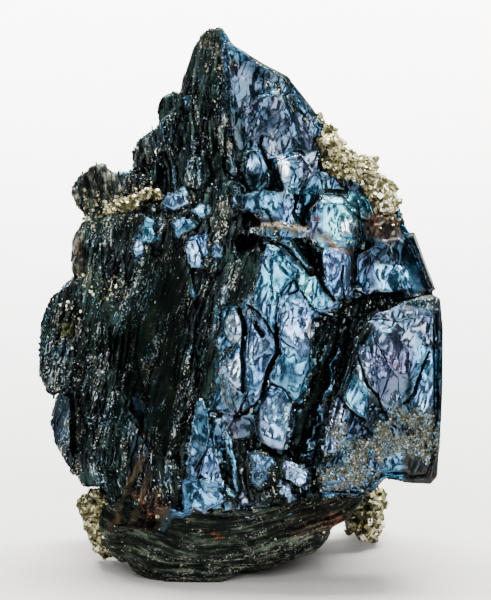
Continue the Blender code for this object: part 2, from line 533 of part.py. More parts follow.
def width_at(up):
    """The left and right edge of the outline at this height."""
    crossings = []
    for (a0, u0), (a1, u1) in zip(OUTLINE, OUTLINE[1:] + OUTLINE[:1]):
        if (u0 - up) * (u1 - up) < 0:
            crossings.append(a0 + (a1 - a0) * (up - u0) / (u1 - u0))
    return min(crossings), max(crossings)


def back_depth(across, up):
    """The depth of the book's back, as a dome over its outline."""
    left, right = width_at(up)
    sideways = (2 * across - left - right) / (right - left)
    upwards = (up - DOME_MIDDLE) / DOME_REACH
    return DOME_RIM - DOME_RISE * max(0.0, 1 - sideways**2) ** 0.5 * max(0.0, 1 - upwards**2) ** 0.5


def add_back_plates(collection, chance):
    for row in range(BACK_ROWS):
        for column in range(BACK_COLUMNS):
            up = BACK_ROW_FOOT + row * BACK_ROW_STEP + chance.uniform(-1.5, 1.5)
            left, right = width_at(up)
            along = (column + chance.uniform(-0.3, 0.3)) / (BACK_COLUMNS - 1)
            across = left + (right - left) * (BACK_COLUMN_START + BACK_COLUMN_RUN * along)
            reach = min(chance.uniform(*BACK_PLATE), (right - left) / BACK_COLUMNS, BACK_PLATE_TOP - up)
            room = min(across - left, right - across) - BACK_PLATE_MARGIN
            reach = max(BACK_PLATE_LEAST, min(reach, room))
            outline = []
            for k in range(SIDES_OF_BACK_PLATE):
                turn = 2 * pi * (k + chance.uniform(-0.3, 0.3)) / SIDES_OF_BACK_PLATE
                radius = reach * chance.uniform(*BACK_PLATE_RAGGED)
                outline.append((across + radius * cos(turn), up + radius * sin(turn)))
            right_slope = chance.uniform(*BACK_PLATE_SLOPES) * across / 10
            up_slope = (up - DOME_MIDDLE) / BACK_PLATE_LEAN
            depth = back_depth(across, up) - BACK_PLATE_MARGIN
            plate = Plate(tuple(outline), depth, right_slope, up_slope, BACK_PLATE_THICK, BACK_PLATE_SPREAD)
            add_plate(f"back_{row}_{column}", plate, collection, -1)


def add_hollow(name, outline, floor, collection):
    mouth = [place(a, u, HOLLOW_MOUTH) for a, u in outline]
    bottom = [place(a, u, floor) for a, u in outline]
    return solid(name, bottom, mouth, collection)


def add_table_cutter(collection):
    """All that would reach below the table, where the specimen is worn flat."""
    wide, deep = TABLE_REACH * MM, TABLE_DEPTH * MM
    corners = [(-wide, -wide), (wide, -wide), (wide, wide), (-wide, wide)]
    bottom, top = ([(x, y, z) for x, y in corners] for z in (-deep, 0.0))
    return solid("below_table", bottom, top, collection)


def cubes_of(cluster, chance):
    """Place, turn and edge of each pyrite cube, in a row along the cluster's longer side."""
    made = []
    for number in range(cluster.cubes):
        edge = chance.uniform(*cluster.edge)
        along = -1 + 2 * number / (cluster.cubes - 1)
        across = cluster.reach[0] * along
        up = cluster.slant * across + cluster.reach[1] * chance.uniform(-1, 1)
        if cluster.reach[1] > cluster.reach[0]:
            up = cluster.reach[1] * along
            across = cluster.slant * up + cluster.reach[0] * chance.uniform(-1, 1)
        out = cluster.reach[2] * chance.uniform(-1, 1)
        turn = Euler([chance.uniform(0, pi / 2) for _ in range(3)])
        middle = [m + d for m, d in zip(cluster.middle, (across, up, out))]
        made.append((place(*middle), turn.to_matrix(), edge * MM))
    return made


def add_cube(name, middle, turn, edge, collection):
    half = edge / 2
    corners = [(-half, -half), (half, -half), (half, half), (-half, half)]
    rings = [[middle + turn @ Vector((x, y, z)) for x, y in corners] for z in (-half, half)]
    return solid(name, *rings, collection)


def fused_cubes(name, cubes, wider):
    """All the cubes of a cluster in one solid, each of them this much wider."""
    others = helper_collection(f"{name}_cubes")
    first, *rest = (
        add_cube(f"{name}_{number}", middle, turn, edge + wider, others)
        for number, (middle, turn, edge) in enumerate(cubes)
    )
    bring_out(first, name, others)
    if rest:
        boolean(first, "UNION", others)
    return first


def cut_out(target, cutter):
    modifier = target.modifiers.new(cutter.name, "BOOLEAN")
    modifier.object = cutter
    modifier.operation = "DIFFERENCE"
    modifier.solver = "EXACT"


def boolean(target, operation, collection):
    modifier = target.modifiers.new(collection.name, "BOOLEAN")
    modifier.operand_type = "COLLECTION"
    modifier.collection = collection
    modifier.operation = operation
    modifier.solver = "EXACT"


def keep_largest(target):
    """Applies the modifiers and drops the splinters that the cuts leave loose."""
    graph = bpy.context.evaluated_depsgraph_get()
    mesh = bpy.data.meshes.new_from_object(target.evaluated_get(graph))
    target.modifiers.clear()
    target.data = mesh
    shaped = bmesh.new()
    shaped.from_mesh(mesh)
    bmesh.ops.remove_doubles(shaped, verts=shaped.verts, dist=SAME_PLACE * MM)
    bmesh.ops.dissolve_limit(shaped, angle_limit=FLAT, verts=shaped.verts, edges=shaped.edges)
    bmesh.ops.triangulate(shaped, faces=shaped.faces)
    left = set(shaped.verts)
    islands = []
    while left:
        island, edge_of_island = set(), [left.pop()]
        while edge_of_island:
            vertex = edge_of_island.pop()
            island.add(vertex)
            near = {edge.other_vert(vertex) for edge in vertex.link_edges} & left
            left -= near
            edge_of_island += near
        islands.append(island)
    largest = max(islands, key=len)
    bmesh.ops.delete(shaped, geom=[v for v in shaped.verts if v not in largest], context="VERTS")
    shaped.to_mesh(mesh)
    shaped.free()


def material(name, colour, roughness, metallic):
    made = bpy.data.materials.new(name)
    made.use_nodes = True
    shader = made.node_tree.nodes["Principled BSDF"]
    shader.inputs["Base Color"].default_value = (*colour, 1)
    shader.inputs["Roughness"].default_value = roughness
    shader.inputs["Metallic"].default_value = metallic
    return made


def main():
    for old in list(bpy.data.objects):
        bpy.data.objects.remove(old)
    chance = random.Random(SEED)
    covellite = material("covellite", (0.07, 0.15, 0.32), 0.30, 0.9)
    pyrite = material("pyrite", (0.62, 0.50, 0.24), 0.35, 1.0)

    book = helper_collection("book")
    add_layers(book, chance)
    for group, plates in GROUPS.items():
        for name, plate in plates.items():
            add_plate(f"{group}_{name}", plate, book)
    add_facets(book, chance)
    add_bunches(book, chance)
    add_back_plates(book, chance)

    mass = book.objects[f"layer_{CARRIER}"]
    bring_out(mass, "covellite_mass", book)
    mass.data.materials.append(covellite)

    hollows = helper_collection("hollows")
    for name, (outline, floor) in HOLLOWS.items():
        add_hollow(name, outline, floor, hollows)
    add_table_cutter(hollows)

    tables = helper_collection("table")
    add_table_cutter(tables)
    boolean(mass, "UNION", book)
    boolean(mass, "DIFFERENCE", hollows)
    clusters = []
    for name, cluster in CLUSTERS.items():
        cubes = cubes_of(cluster, chance)
        grown = fused_cubes(name, cubes, 0.0)
        grown.data.materials.append(pyrite)
        boolean(grown, "DIFFERENCE", tables)
        pocket = fused_cubes(f"{name}_pocket", cubes, 2 * GAP * MM)
        as_guide(pocket)
        cut_out(mass, pocket)
        clusters.append(grown)
    bpy.context.view_layer.update()
    for piece in (mass, *clusters):
        keep_largest(piece)


main()
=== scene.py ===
"""The covellite specimen dressed for its portrait: torn blue plates, ragged leaves and grains of pyrite."""

from itertools import product
from math import cos, radians, sin

import bmesh
import bpy
import numpy as np
from mathutils import Matrix, Vector


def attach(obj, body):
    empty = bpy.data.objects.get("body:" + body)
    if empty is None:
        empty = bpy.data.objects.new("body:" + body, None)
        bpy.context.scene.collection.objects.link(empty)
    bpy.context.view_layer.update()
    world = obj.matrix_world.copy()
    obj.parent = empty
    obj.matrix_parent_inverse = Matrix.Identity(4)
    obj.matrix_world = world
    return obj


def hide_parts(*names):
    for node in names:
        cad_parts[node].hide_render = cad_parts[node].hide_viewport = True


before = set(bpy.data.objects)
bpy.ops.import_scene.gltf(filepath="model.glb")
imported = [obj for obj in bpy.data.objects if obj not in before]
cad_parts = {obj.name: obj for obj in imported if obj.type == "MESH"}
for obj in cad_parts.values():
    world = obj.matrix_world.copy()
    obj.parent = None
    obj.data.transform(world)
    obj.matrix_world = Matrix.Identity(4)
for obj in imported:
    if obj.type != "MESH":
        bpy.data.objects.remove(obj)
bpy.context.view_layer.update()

# The front of the book
# Real piece: the front half of the grown covellite, a pile of cleavage plates under a millimetre thick,
# bright blue where they face out, near-black and green where they are seen edge-on. Made from a copy of the
# solid, parted between two leaves, remeshed finely, and torn along its leaves and cracked in code.
MM = 0.001
LEAN = radians(13)  # the main cleavage leans back this far from upright
TOE = (0.1, 8.8)  # height up the cleavage and depth of the foremost point that the specimen stands on
MIDDLE = (0.05, 15.4)  # of the specimen's box: across, and how far behind the foremost point
PARTING = -1.2  # depth of the joint between the two leaves at which the book is parted, in mm
FRONT_GRAIN = 0.145 * MM  # size of the remesh
FRONT_FACES = 194_000

ACROSS = Vector((1, 0, 0))
UP = Vector((0, sin(LEAN), cos(LEAN)))
OUT = Vector((0, -cos(LEAN), sin(LEAN)))
ORIGIN = MM * Vector((-MIDDLE[0], TOE[1] * cos(LEAN) - MIDDLE[1] - TOE[0] * sin(LEAN), 0))
ORIGIN.z = -MM * (TOE[0] * cos(LEAN) + TOE[1] * sin(LEAN))
AXES = np.array([ACROSS, UP, OUT])


def place(across, up, out):
    """A point given on the leaning cleavage in mm, in the frame's metres."""
    return ORIGIN + MM * (across * ACROSS + up * UP + out * OUT)


def on_cleavage(points):
    """Points of the frame, as millimetres across, up and out of the cleavage."""
    return (points - np.array(ORIGIN)) @ AXES.T / MM


def smooth(low, high, value):
    share = np.clip((value - low) / (high - low), 0, 1)
    return share * share * (3 - 2 * share)


def scramble(cell, seed):
    """A number from 0 to 1 for each cell of whole numbers, always the same for the same cell."""
    mixed = cell[..., 0] * 73856093 ^ cell[..., 1] * 19349663 ^ cell[..., 2] * 83492791 ^ seed * 40503
    mixed = (mixed ^ mixed >> 13) * 1274126177 & 0x7FFFFFFF
    mixed = (mixed ^ mixed >> 15) * 668265263 & 0x7FFFFFFF
    return (mixed ^ mixed >> 16 & 0xFFFF) % 65536 / 65535


def noise(points, seed=0):
    """Smooth noise from -1 to 1."""
    base = np.floor(points)
    share = points - base
    share = share**3 * (share * (share * 6 - 15) + 10)
    base = base.astype(np.int64)
    total = np.zeros(len(points))
    for corner in product((0, 1), repeat=3):
        weight = np.prod(np.where(corner, share, 1 - share), axis=1)
        total += weight * scramble(base + np.array(corner), seed)
    return 2 * total - 1


def cells(points, seed):
    """The cell of crazed plates that each point is in: its number, and the way from its middle."""
    base = np.floor(points).astype(np.int64)
    nearest = np.full(len(points), 9.0)
    way = np.zeros_like(points)
    number = np.zeros_like(base)
    for step in product((-1, 0, 1), repeat=3):
        cell = base + np.array(step)
        middle = cell + np.stack([0.1 + 0.8 * scramble(cell, seed + k) for k in range(3)], axis=1)
        apart = points - middle
        distance = np.sqrt((apart**2).sum(axis=1))
        closer = distance < nearest
        nearest = np.where(closer, distance, nearest)
        way[closer] = apart[closer]
        number[closer] = cell[closer]
    return number, way


def leaves(level, along, thickness, seed):
    """How far each leaf of a torn book stands out: steps between leaves, each with a rim that wanders."""
    counted = level / thickness
    leaf = np.floor(counted)
    share = smooth(0.8, 1.0, counted - leaf)
    here, beyond = (noise(np.column_stack([along, (leaf + k) * 7.31]), seed) for k in (0, 1))
    return here * (1 - share) + beyond * share


PIXEL = 0.1  # mm of the specimen to a pixel of the photograph, in which the outlines below are read
PIXEL_ORIGIN = (240, 587)


def seen(*read):
    """Points read off the photograph, x and y in turn, as millimetres across and up."""
    across, down = PIXEL_ORIGIN
    return [((x - across) * PIXEL, (down - y) * PIXEL) for x, y in zip(read[::2], read[1::2])]


def beside(at, line, reach):
    """Which points are in the upright box round a line, made this many mm wider."""
    low, high = np.min(line, axis=0) - reach, np.max(line, axis=0) + reach
    return np.flatnonzero(((at > low) & (at < high)).all(axis=1))


def line_distance(at, line, reach=1.5):
    """Distance in mm from each point to a line of points, up to a reach."""
    distance = np.full(len(at), reach)
    chosen = beside(at, line, reach)
    close, nearest = at[chosen], distance[chosen]
    for start, end in zip(line, line[1:]):
        start, run = np.array(start), np.subtract(end, start)
        share = np.clip((close - start) @ run / (run @ run), 0, 1)
        nearest = np.minimum(nearest, np.linalg.norm(close - start - share[:, None] * run, axis=1))
    distance[chosen] = nearest
    return distance


def patch(at, outline, soft=0.25):
    """1 inside an outline and 0 outside, with a soft rim this many mm wide."""
    closed = [*outline, outline[0]]
    share = np.zeros(len(at))
    chosen = beside(at, outline, soft)
    close = at[chosen]
    inside = np.zeros(len(close), bool)
    for (a0, u0), (a1, u1) in zip(closed, closed[1:]):
        crosses = (u0 > close[:, 1]) != (u1 > close[:, 1])
        with np.errstate(divide="ignore", invalid="ignore"):
            inside ^= crosses & (close[:, 0] < a0 + (a1 - a0) * (close[:, 1] - u0) / (u1 - u0))
    share[chosen] = smooth(-soft, soft, np.where(inside, 1, -1) * line_distance(close, closed))
    return share


def most(masks, count):
    """The strongest of several masks, or nothing where there are none."""
    return np.max([np.zeros(count), *masks], axis=0)


FOLIATED = [  # where the leaves are seen edge-on
    seen(20, 10, 214, 20, 226, 60, 228, 130, 236, 150, 240, 178, 232, 205, 262, 215, 264, 250, 257, 280,
         248, 300, 226, 310, 214, 340, 216, 362, 213, 402, 196, 430, 186, 480, 178, 507, 20, 507),
    seen(366, 300, 346, 330, 334, 370, 324, 410, 316, 456, 334, 456, 346, 410, 357, 368, 372, 330,
         388, 306),
    seen(302, 236, 310, 238, 322, 275, 336, 300, 330, 304, 312, 276),
    seen(346, 292, 400, 290, 436, 296, 436, 308, 400, 306, 352, 322, 340, 345, 330, 345),
    seen(222, 440, 262, 436, 300, 452, 310, 478, 300, 500, 232, 502, 226, 470),
]
FOOT = [seen(60, 505, 135, 508, 165, 528, 182, 515, 240, 512, 285, 498, 340, 498, 375, 488, 400, 560,
             160, 620, 60, 600)]
DARK_FACE = [seen(145, 262, 165, 245, 180, 250, 190, 300, 185, 340, 180, 380, 178, 420, 170, 450, 150, 455,
                  140, 430, 122, 390, 122, 350, 130, 310, 138, 285)]
DRUSE = [seen(337, 424, 345, 430, 352, 439, 358, 428, 366, 424, 372, 430, 380, 418, 398, 412, 404, 420,
              413, 405, 426, 414, 436, 432, 436, 452, 412, 458, 388, 458, 376, 470, 366, 484, 340, 490,
              322, 486, 320, 464, 326, 446)]
CLEFT = [
    seen(343, 304, 372, 297, 400, 292, 404, 299, 376, 309, 352, 322, 338, 340, 330, 362, 324, 388, 316, 412,
         306, 440, 300, 456, 284, 452, 292, 438, 297, 415, 306, 402, 310, 385, 316, 368, 313, 340, 318, 322,
         334, 317),
]
GRITTY = [  # dull, crusted lumps
    seen(66, 158, 112, 160, 118, 214, 66, 222),
    seen(200, 20, 224, 20, 222, 40, 214, 46, 200, 42),
    seen(72, 225, 82, 228, 82, 280, 72, 280),
    seen(150, 577, 200, 569, 240, 557, 300, 541, 302, 545, 240, 564, 200, 577, 160, 583),
]
LEVEL = [  # plates that make one broad face
    seen(269, 241, 290, 248, 303, 266, 320, 276, 333, 298, 338, 312, 318, 318, 313, 340, 316, 368, 309, 385,
         306, 402, 297, 415, 292, 438, 284, 452, 262, 442, 245, 422, 222, 394, 219, 365, 226, 350, 236, 346,
         226, 326, 234, 308, 246, 300, 257, 283, 263, 262),
    seen(345, 340, 360, 326, 395, 310, 430, 304, 440, 330, 441, 400, 437, 484, 405, 486, 320, 500, 316, 470,
         325, 430, 338, 390),
    seen(320, 192, 352, 192, 374, 206, 368, 240, 354, 254, 353, 298, 332, 308, 320, 290, 316, 250,
         315, 222),
    seen(366, 228, 400, 226, 424, 252, 432, 292, 402, 298, 370, 290),
    seen(230, 58, 262, 82, 290, 96, 312, 124, 320, 150, 302, 153, 272, 162, 240, 152, 238, 112),
    seen(182, 478, 222, 476, 224, 506, 184, 516),
]
CLEFT_LIP = seen(400, 292, 343, 304, 318, 322, 313, 340, 316, 368, 310, 385, 297, 415, 284, 452)
OCHRE_SEAM = seen(253, 221, 270, 226, 290, 230, 310, 232, 330, 240, 347, 251)
TAN_RIDGES = [seen(142, 458, 128, 488, 112, 530), seen(152, 470, 140, 496, 128, 530)]
CRACKS = [  # half width in mm, and the line
    (0.09, seen(291, 282, 284, 290, 279, 298, 277, 310, 276, 325)),
    (0.22, seen(276, 325, 276, 340, 278, 352, 272, 362, 268, 372, 264, 385, 262, 395)),
    (0.10, seen(262, 395, 255, 405, 245, 413, 235, 418)),
    (0.13, seen(247, 305, 256, 311, 264, 320, 270, 330, 276, 340)),
    (0.20, seen(238, 308, 243, 318, 245, 330, 243, 345, 243, 360, 244, 375, 243, 390)),
    (0.22, seen(255, 322, 258, 330, 262, 336)),
    (0.07, seen(254, 337, 253, 348, 253, 360)),
    (0.09, seen(281, 338, 287, 344, 295, 348)),
    (0.09, seen(300, 290, 305, 297, 310, 305, 318, 313, 330, 317, 338, 315)),
    (0.07, seen(298, 310, 302, 325, 307, 335, 311, 343)),
    (0.16, seen(270, 242, 285, 246, 295, 256, 305, 268, 312, 275)),
    (0.20, seen(308, 240, 312, 262, 318, 275, 325, 290, 333, 300)),
    (0.10, seen(343, 265, 342, 280, 345, 300)),
    (0.14, seen(262, 135, 260, 145, 266, 158, 272, 170)),
    (0.10, seen(295, 195, 303, 205, 302, 225)),
    (0.10, seen(262, 208, 270, 216, 272, 226)),
    (0.10, seen(336, 393, 345, 405, 355, 415, 365, 421)),
    (0.08, seen(343, 405, 341, 422)),
    (0.12, seen(357, 357, 363, 372, 368, 386, 377, 395, 381, 408, 390, 420)),
    (0.13, seen(428, 352, 422, 366, 417, 380, 414, 392, 405, 402)),
    (0.13, seen(257, 440, 268, 448, 280, 452, 290, 455, 305, 463)),
    (0.10, seen(208, 395, 212, 430, 207, 450, 195, 470)),
    (0.10, seen(217, 435, 220, 460, 226, 478, 238, 497)),
    (0.07, seen(372, 330, 374, 342, 382, 352, 388, 366, 397, 378, 399, 396)),
    (0.08, seen(268, 383, 283, 388, 296, 406)),
    (0.08, seen(345, 205, 355, 215, 368, 222)),
    (0.08, seen(357, 200, 362, 225, 364, 245)),
    (0.06, seen(224, 372, 228, 380, 236, 388, 241, 390)),
    (0.06, seen(262, 262, 270, 276, 272, 292, 268, 306)),
    (0.05, seen(286, 300, 292, 312, 290, 328, 295, 340)),
    (0.06, seen(250, 365, 258, 358, 268, 352)),
    (0.06, seen(326, 250, 332, 265, 330, 282)),
    (0.06, seen(350, 330, 362, 322, 380, 318, 398, 322, 412, 318)),
    (0.05, seen(398, 340, 408, 352, 407, 370, 410, 384)),
    (0.06, seen(250, 100, 248, 116, 252, 132, 250, 146)),
    (0.06, seen(280, 100, 288, 116, 291, 134, 300, 146)),
]
# blue finishes: partly the mineral's own blue, teal and violet, partly painted light and shade on plates
FINISHES = {  # what each colour of the mineral reflects
    "aqua": (0.080, 0.28, 0.38),
    "sky": (0.085, 0.24, 0.38),
    "periwinkle": (0.110, 0.22, 0.39),
    "lavender": (0.23, 0.34, 0.54),
    # a painted highlight: pale blue-white where a plate catches the light
    "painted_highlight": (0.46, 0.58, 0.74),
    "steel": (0.042, 0.110, 0.19),
    "slate": (0.015, 0.025, 0.036),
    "violet": (0.060, 0.080, 0.125),
    "mauve": (0.095, 0.135, 0.215),
    "brown": (0.024, 0.016, 0.012),
    "rust": (0.07, 0.027, 0.016),
    "ochre": (0.050, 0.034, 0.016),
    "tan": (0.034, 0.028, 0.018),
    "olive": (0.020, 0.024, 0.008),
    "crust": (0.050, 0.055, 0.045),
    "earth": (0.010, 0.015, 0.011),
    "torn": (0.008, 0.011, 0.0115),
    "green": (0.010, 0.019, 0.017),
    "black": (0.003, 0.005, 0.004),
}
# plain faces painted lighter or darker: partly their own colour, partly painted light and shade
FACES = {  # plain faces and stains, by their finish
    "slate": [
        seen(365, 225, 400, 228, 420, 250, 430, 292, 402, 296, 372, 286, 360, 262),
        seen(50, 395, 69, 398, 68, 472, 56, 470, 50, 430),
        seen(128, 430, 146, 430, 146, 456, 134, 462),
    ],
    "violet": [
        seen(250, 100, 262, 96, 275, 95, 283, 98, 288, 110, 292, 125, 300, 150, 285, 150, 272, 158,
             262, 150, 250, 140, 243, 115),
        seen(230, 60, 246, 66, 262, 84, 250, 98, 240, 112, 232, 96),
        seen(296, 110, 310, 124, 316, 148, 304, 150, 296, 130),
    ],
    "steel": [
        seen(322, 472, 368, 472, 366, 496, 322, 496),
        seen(385, 458, 405, 456, 405, 478, 386, 478),
        seen(182, 480, 222, 478, 222, 504, 184, 512),
        seen(196, 400, 207, 400, 209, 420, 206, 440, 200, 452, 190, 478, 186, 470, 190, 440),
        seen(251, 453, 262, 452, 266, 464, 268, 474, 258, 488, 253, 478, 250, 465),
        seen(190, 289, 195, 288, 195, 296, 191, 296),
        seen(400, 265, 420, 264, 424, 290, 404, 292),
    ],
    "periwinkle": [
        seen(278, 300, 291, 284, 300, 291, 306, 300, 311, 343, 314, 352, 282, 353, 277, 340),
        seen(247, 310, 262, 322, 275, 345, 272, 362, 262, 393, 250, 408, 245, 390, 246, 335),
        seen(320, 246, 352, 252, 350, 298, 326, 296),
        seen(412, 345, 436, 350, 434, 405, 412, 418),
        seen(280, 203, 298, 205, 297, 221, 281, 222),
        seen(135, 236, 140, 233, 145, 248, 143, 256, 136, 262, 132, 256),
        seen(161, 203, 166, 196, 176, 193, 184, 196, 189, 200, 184, 207, 172, 210, 163, 208),
        seen(208, 449, 212, 436, 218, 440, 220, 462, 224, 478, 228, 488, 206, 479, 200, 470,
             205, 460),
        seen(211, 256, 213, 246, 217, 243, 222, 248, 224, 256, 219, 262, 210, 261),
        seen(130, 394, 137, 394, 146, 412, 133, 413),
        seen(183, 247, 188, 240, 197, 236, 206, 231, 209, 236, 205, 245, 206, 254, 201, 262, 203, 268,
             198, 271, 190, 266, 186, 256),
    ],
    "sky": [
        seen(269, 241, 290, 262, 300, 270, 291, 282, 280, 297, 277, 310, 276, 335, 262, 318, 247, 303,
             257, 285, 264, 262),
        seen(270, 370, 280, 355, 312, 350, 314, 365, 307, 388, 302, 404, 283, 388, 268, 383),
        seen(340, 392, 350, 372, 362, 373, 368, 380, 366, 418, 348, 408),
        seen(375, 265, 400, 266, 399, 290, 380, 288),
        seen(285, 183, 300, 184, 299, 195, 287, 194),
        seen(258, 195, 278, 195, 277, 209, 262, 210),
        seen(141, 222, 147, 216, 154, 219, 155, 230, 159, 238, 150, 244, 146, 243, 142, 236),
        seen(172, 222, 178, 219, 190, 219, 199, 225, 192, 232, 184, 234, 178, 239, 173, 231),
        seen(178, 186, 190, 186, 188, 196, 180, 198),
        seen(193, 212, 200, 203, 208, 204, 210, 214, 206, 219, 198, 218),
        seen(222, 420, 228, 428, 232, 440, 234, 455, 238, 470, 240, 488, 236, 490, 231, 462,
             225, 446),
        seen(265, 456, 272, 455, 274, 464, 268, 468, 264, 462),
        seen(226, 490, 232, 487, 237, 492, 234, 500, 228, 494),
        seen(183, 95, 190, 96, 189, 105, 183, 104),
    ],
    "aqua": [
        seen(320, 195, 352, 198, 356, 222, 350, 248, 330, 240, 318, 222),
        seen(346, 190, 364, 196, 374, 206, 370, 222, 354, 212),
        seen(300, 268, 318, 275, 333, 300, 318, 312, 305, 297, 298, 287),
        seen(290, 240, 302, 244, 308, 266, 300, 264),
        seen(316, 232, 326, 240, 328, 252, 319, 250),
        seen(408, 270, 418, 271, 418, 281, 409, 282),
    ],
    "mauve": [
        seen(368, 312, 400, 304, 432, 308, 436, 342, 412, 350, 404, 400, 392, 416, 378, 400, 366, 372,
             372, 340),
        seen(296, 150, 318, 152, 314, 178, 300, 180),
    ],
    "lavender": [
        seen(262, 400, 283, 398, 292, 410, 294, 420, 291, 438, 286, 447, 282, 451, 272, 449, 262, 440,
             257, 430, 257, 415),
        seen(326, 408, 340, 396, 344, 420, 338, 450, 320, 452),
        seen(355, 345, 362, 345, 368, 360, 367, 372, 360, 373, 355, 362),
        seen(245, 158, 262, 159, 261, 172, 247, 171),
        seen(222, 362, 240, 352, 243, 365, 243, 382, 235, 390, 228, 383, 221, 370),
        seen(285, 457, 293, 460, 302, 466, 307, 472, 305, 485, 303, 488, 296, 484, 288, 478,
             284, 470),
        seen(279, 480, 284, 482, 292, 492, 296, 498, 286, 500, 280, 492),
        seen(240, 494, 244, 490, 248, 500, 246, 505, 241, 506),
        seen(350, 288, 378, 288, 378, 295, 352, 297),
    ],
    # painted highlights on small plates that catch the light
    "painted_highlight": [
        seen(303, 320, 318, 322, 317, 337, 306, 336),
        seen(235, 310, 240, 320, 243, 335, 243, 345, 232, 342, 226, 330, 228, 320),
        seen(340, 222, 355, 223, 354, 235, 341, 234),
        seen(318, 281, 324, 286, 330, 297, 324, 294),
        seen(279, 158, 288, 160, 288, 173, 280, 172),
        seen(232, 364, 240, 366, 241, 378, 236, 380),
        seen(225, 285, 228, 287, 221, 304, 219, 302),
        seen(190, 436, 192, 444, 191, 456, 189, 450),
        seen(214, 408, 216, 412, 215, 416, 213, 412),
        seen(283, 402, 290, 404, 289, 414, 284, 414),
    ],
    "brown": [
        seen(365, 214, 398, 216, 402, 232, 396, 242, 366, 236),
        seen(402, 452, 440, 446, 441, 486, 400, 486),
        seen(77, 235, 82, 235, 82, 275, 77, 275),
        seen(133, 490, 160, 490, 170, 507, 160, 529, 133, 530),
        seen(285, 498, 370, 498, 345, 535, 290, 538),
    ],
    "rust": [
        seen(142, 500, 155, 497, 162, 512, 150, 524),
        seen(205, 528, 228, 526, 229, 539, 206, 540),
        seen(324, 516, 342, 516, 342, 526, 325, 526),
        seen(374, 212, 386, 214, 386, 224, 375, 224),
        seen(386, 350, 394, 350, 404, 368, 396, 370),
        seen(314, 214, 322, 215, 321, 222, 315, 222),
        seen(327, 197, 333, 198, 332, 204, 327, 204),
        seen(358, 247, 365, 248, 364, 254, 359, 254),
        seen(240, 294, 246, 295, 245, 302, 241, 301),
    ],
    "olive": [seen(62, 322, 72, 322, 72, 337, 62, 337)],
}
STRIPED = [  # plates with fine lines across them
    seen(183, 490, 195, 482, 215, 481, 222, 490, 224, 505, 215, 510, 195, 516, 185, 518),
    seen(193, 212, 200, 203, 208, 204, 210, 214, 206, 219, 198, 218),
    seen(251, 453, 262, 452, 266, 464, 268, 474, 258, 488, 253, 478, 250, 465),
]
ZONES = {
    "foliated": FOLIATED, "foot": FOOT, "dark": DARK_FACE, "druse": DRUSE, "gritty": GRITTY, "level": LEVEL,
    "cleft": CLEFT, "striped": STRIPED,
}
# finishes painted only where plates face out: partly their own colour, partly painted light
BRIGHT = ("aqua", "sky", "periwinkle", "lavender", "painted_highlight", "mauve")
PLAIN = (*BRIGHT, "steel", "violet")
FACE_RIM = 0.09  # mm over which one finish fades into the next
SLAB_SIDE = (8.5, 12.0)  # mm across, over which the slab takes over from the torn middle
SLAB_RIM = (16.5, 18.5)  # mm across, over which its calm outer rim sets in
FAR_FROM_CRACKS = 9  # in half widths of the crack


def mixed(first, second, share):
    return first + (np.array(second) - first) * share[:, None]


def strike(at, foliated, foot):
    """A height that rises from leaf to leaf, whichever way the leaves run at each point."""
    across, up, out = at.T
    slant = 0.12 * up + 0.20 * np.clip(up, 16, 33)
    slant = slant + 0.28 * (14 - up) * smooth(16, 4, up) - 2.0 * smooth(38, 50, up)
    sideways = across - slant + 0.35 * out
    layered = up - 0.02 * (across + 3) ** 2 + 0.2 * out
    return (out * (1 - foliated) + sideways * foliated) * (1 - foot) + layered * foot


def zones_of(at, front):
    """Where the book is seen edge-on, where it is crusted, where plain faces take painted light and shade,
    and where it cracks.
    """
    count = len(at)
    if not np.any(front):
        nowhere = np.zeros(count)
        found = dict.fromkeys((*ZONES, "side", "tan", "ochre", "crack", "hair"), nowhere)
        found["faces"] = dict.fromkeys(FACES, nowhere)
        found["rim"] = smooth(*SLAB_RIM, at[:, 0])
        found["apart"] = nowhere + FAR_FROM_CRACKS
        return found
    wander = np.column_stack([noise(at * 0.9, 5 + k) for k in (0, 1)])
    ragged = np.column_stack([noise(at * 2.3, 7 + k) for k in (0, 1)])
    rough = at[:, :2] + 0.45 * wander + 0.12 * ragged
    near = at[:, :2] + 0.15 * wander + 0.17 * ragged
    found = {
        name: most([patch(rough, outline) for outline in outlines], count) * front
        for name, outlines in ZONES.items()
    }
    found["faces"] = {
        name: most([patch(near, outline, FACE_RIM) for outline in outlines], count) * front
        for name, outlines in FACES.items()
    }
    plain = most([found["faces"][name] for name in PLAIN], count)
    found["level"] *= 1 - found["cleft"]
    found["foliated"] = most([found["foliated"] * (1 - plain), found["cleft"]], count)
    found["foot"] *= 1 - plain
    found["side"] = smooth(*SLAB_SIDE, at[:, 0]) * (1 - found["foliated"]) * front
    found["rim"] = smooth(*SLAB_RIM, at[:, 0])
    found["tan"] = most([smooth(0.6, 0.2, line_distance(near, line)) for line in TAN_RIDGES], count) * front
    found["ochre"] = smooth(0.62, 0.35, line_distance(rough, OCHRE_SEAM)) * front
    wavy = at[:, :2] + 0.08 * wander
    away = [line_distance(wavy, line) for width, line in CRACKS]
    widths = [width for width, line in CRACKS]
    found["apart"] = np.min([gap / width for gap, width in zip(away, widths)], axis=0)
    found["apart"] = found["apart"] + FAR_FROM_CRACKS * (1 - front)
    cut = [np.exp(-((gap / max(width, 0.1)) ** 2)) * width for gap, width in zip(away, widths)]
    found["crack"] = most(cut, count) * front
    # hairline cracks: grooved in tear, and painted black there as painted shade
    hair = np.abs(noise(at * (0.55, 0.22, 0.4) + 0.25 * wander[:, :1], 88))
    found["hair"] = np.exp(-((hair / 0.03) ** 2)) * smooth(-0.1, 0.3, noise(at * 0.3, 89))
    return found


def spread(heights, reach, pick):
    """The highest or lowest of the neighbours of each cell of a grid."""
    widened = np.pad(heights, reach, mode="edge")
    rows, columns = heights.shape
    steps = range(2 * reach + 1)
    return pick([widened[i:i + rows, j:j + columns] for i in steps for j in steps], axis=0)


LEVEL_CELL = 0.3  # mm
LEVEL_BOX = ((-22, 22), (-2, 59))
LEVEL_REACH = 3  # cells: clefts narrower than twice this are bridged
LEVEL_BELOW = -20.0  # mm out, where there is nothing


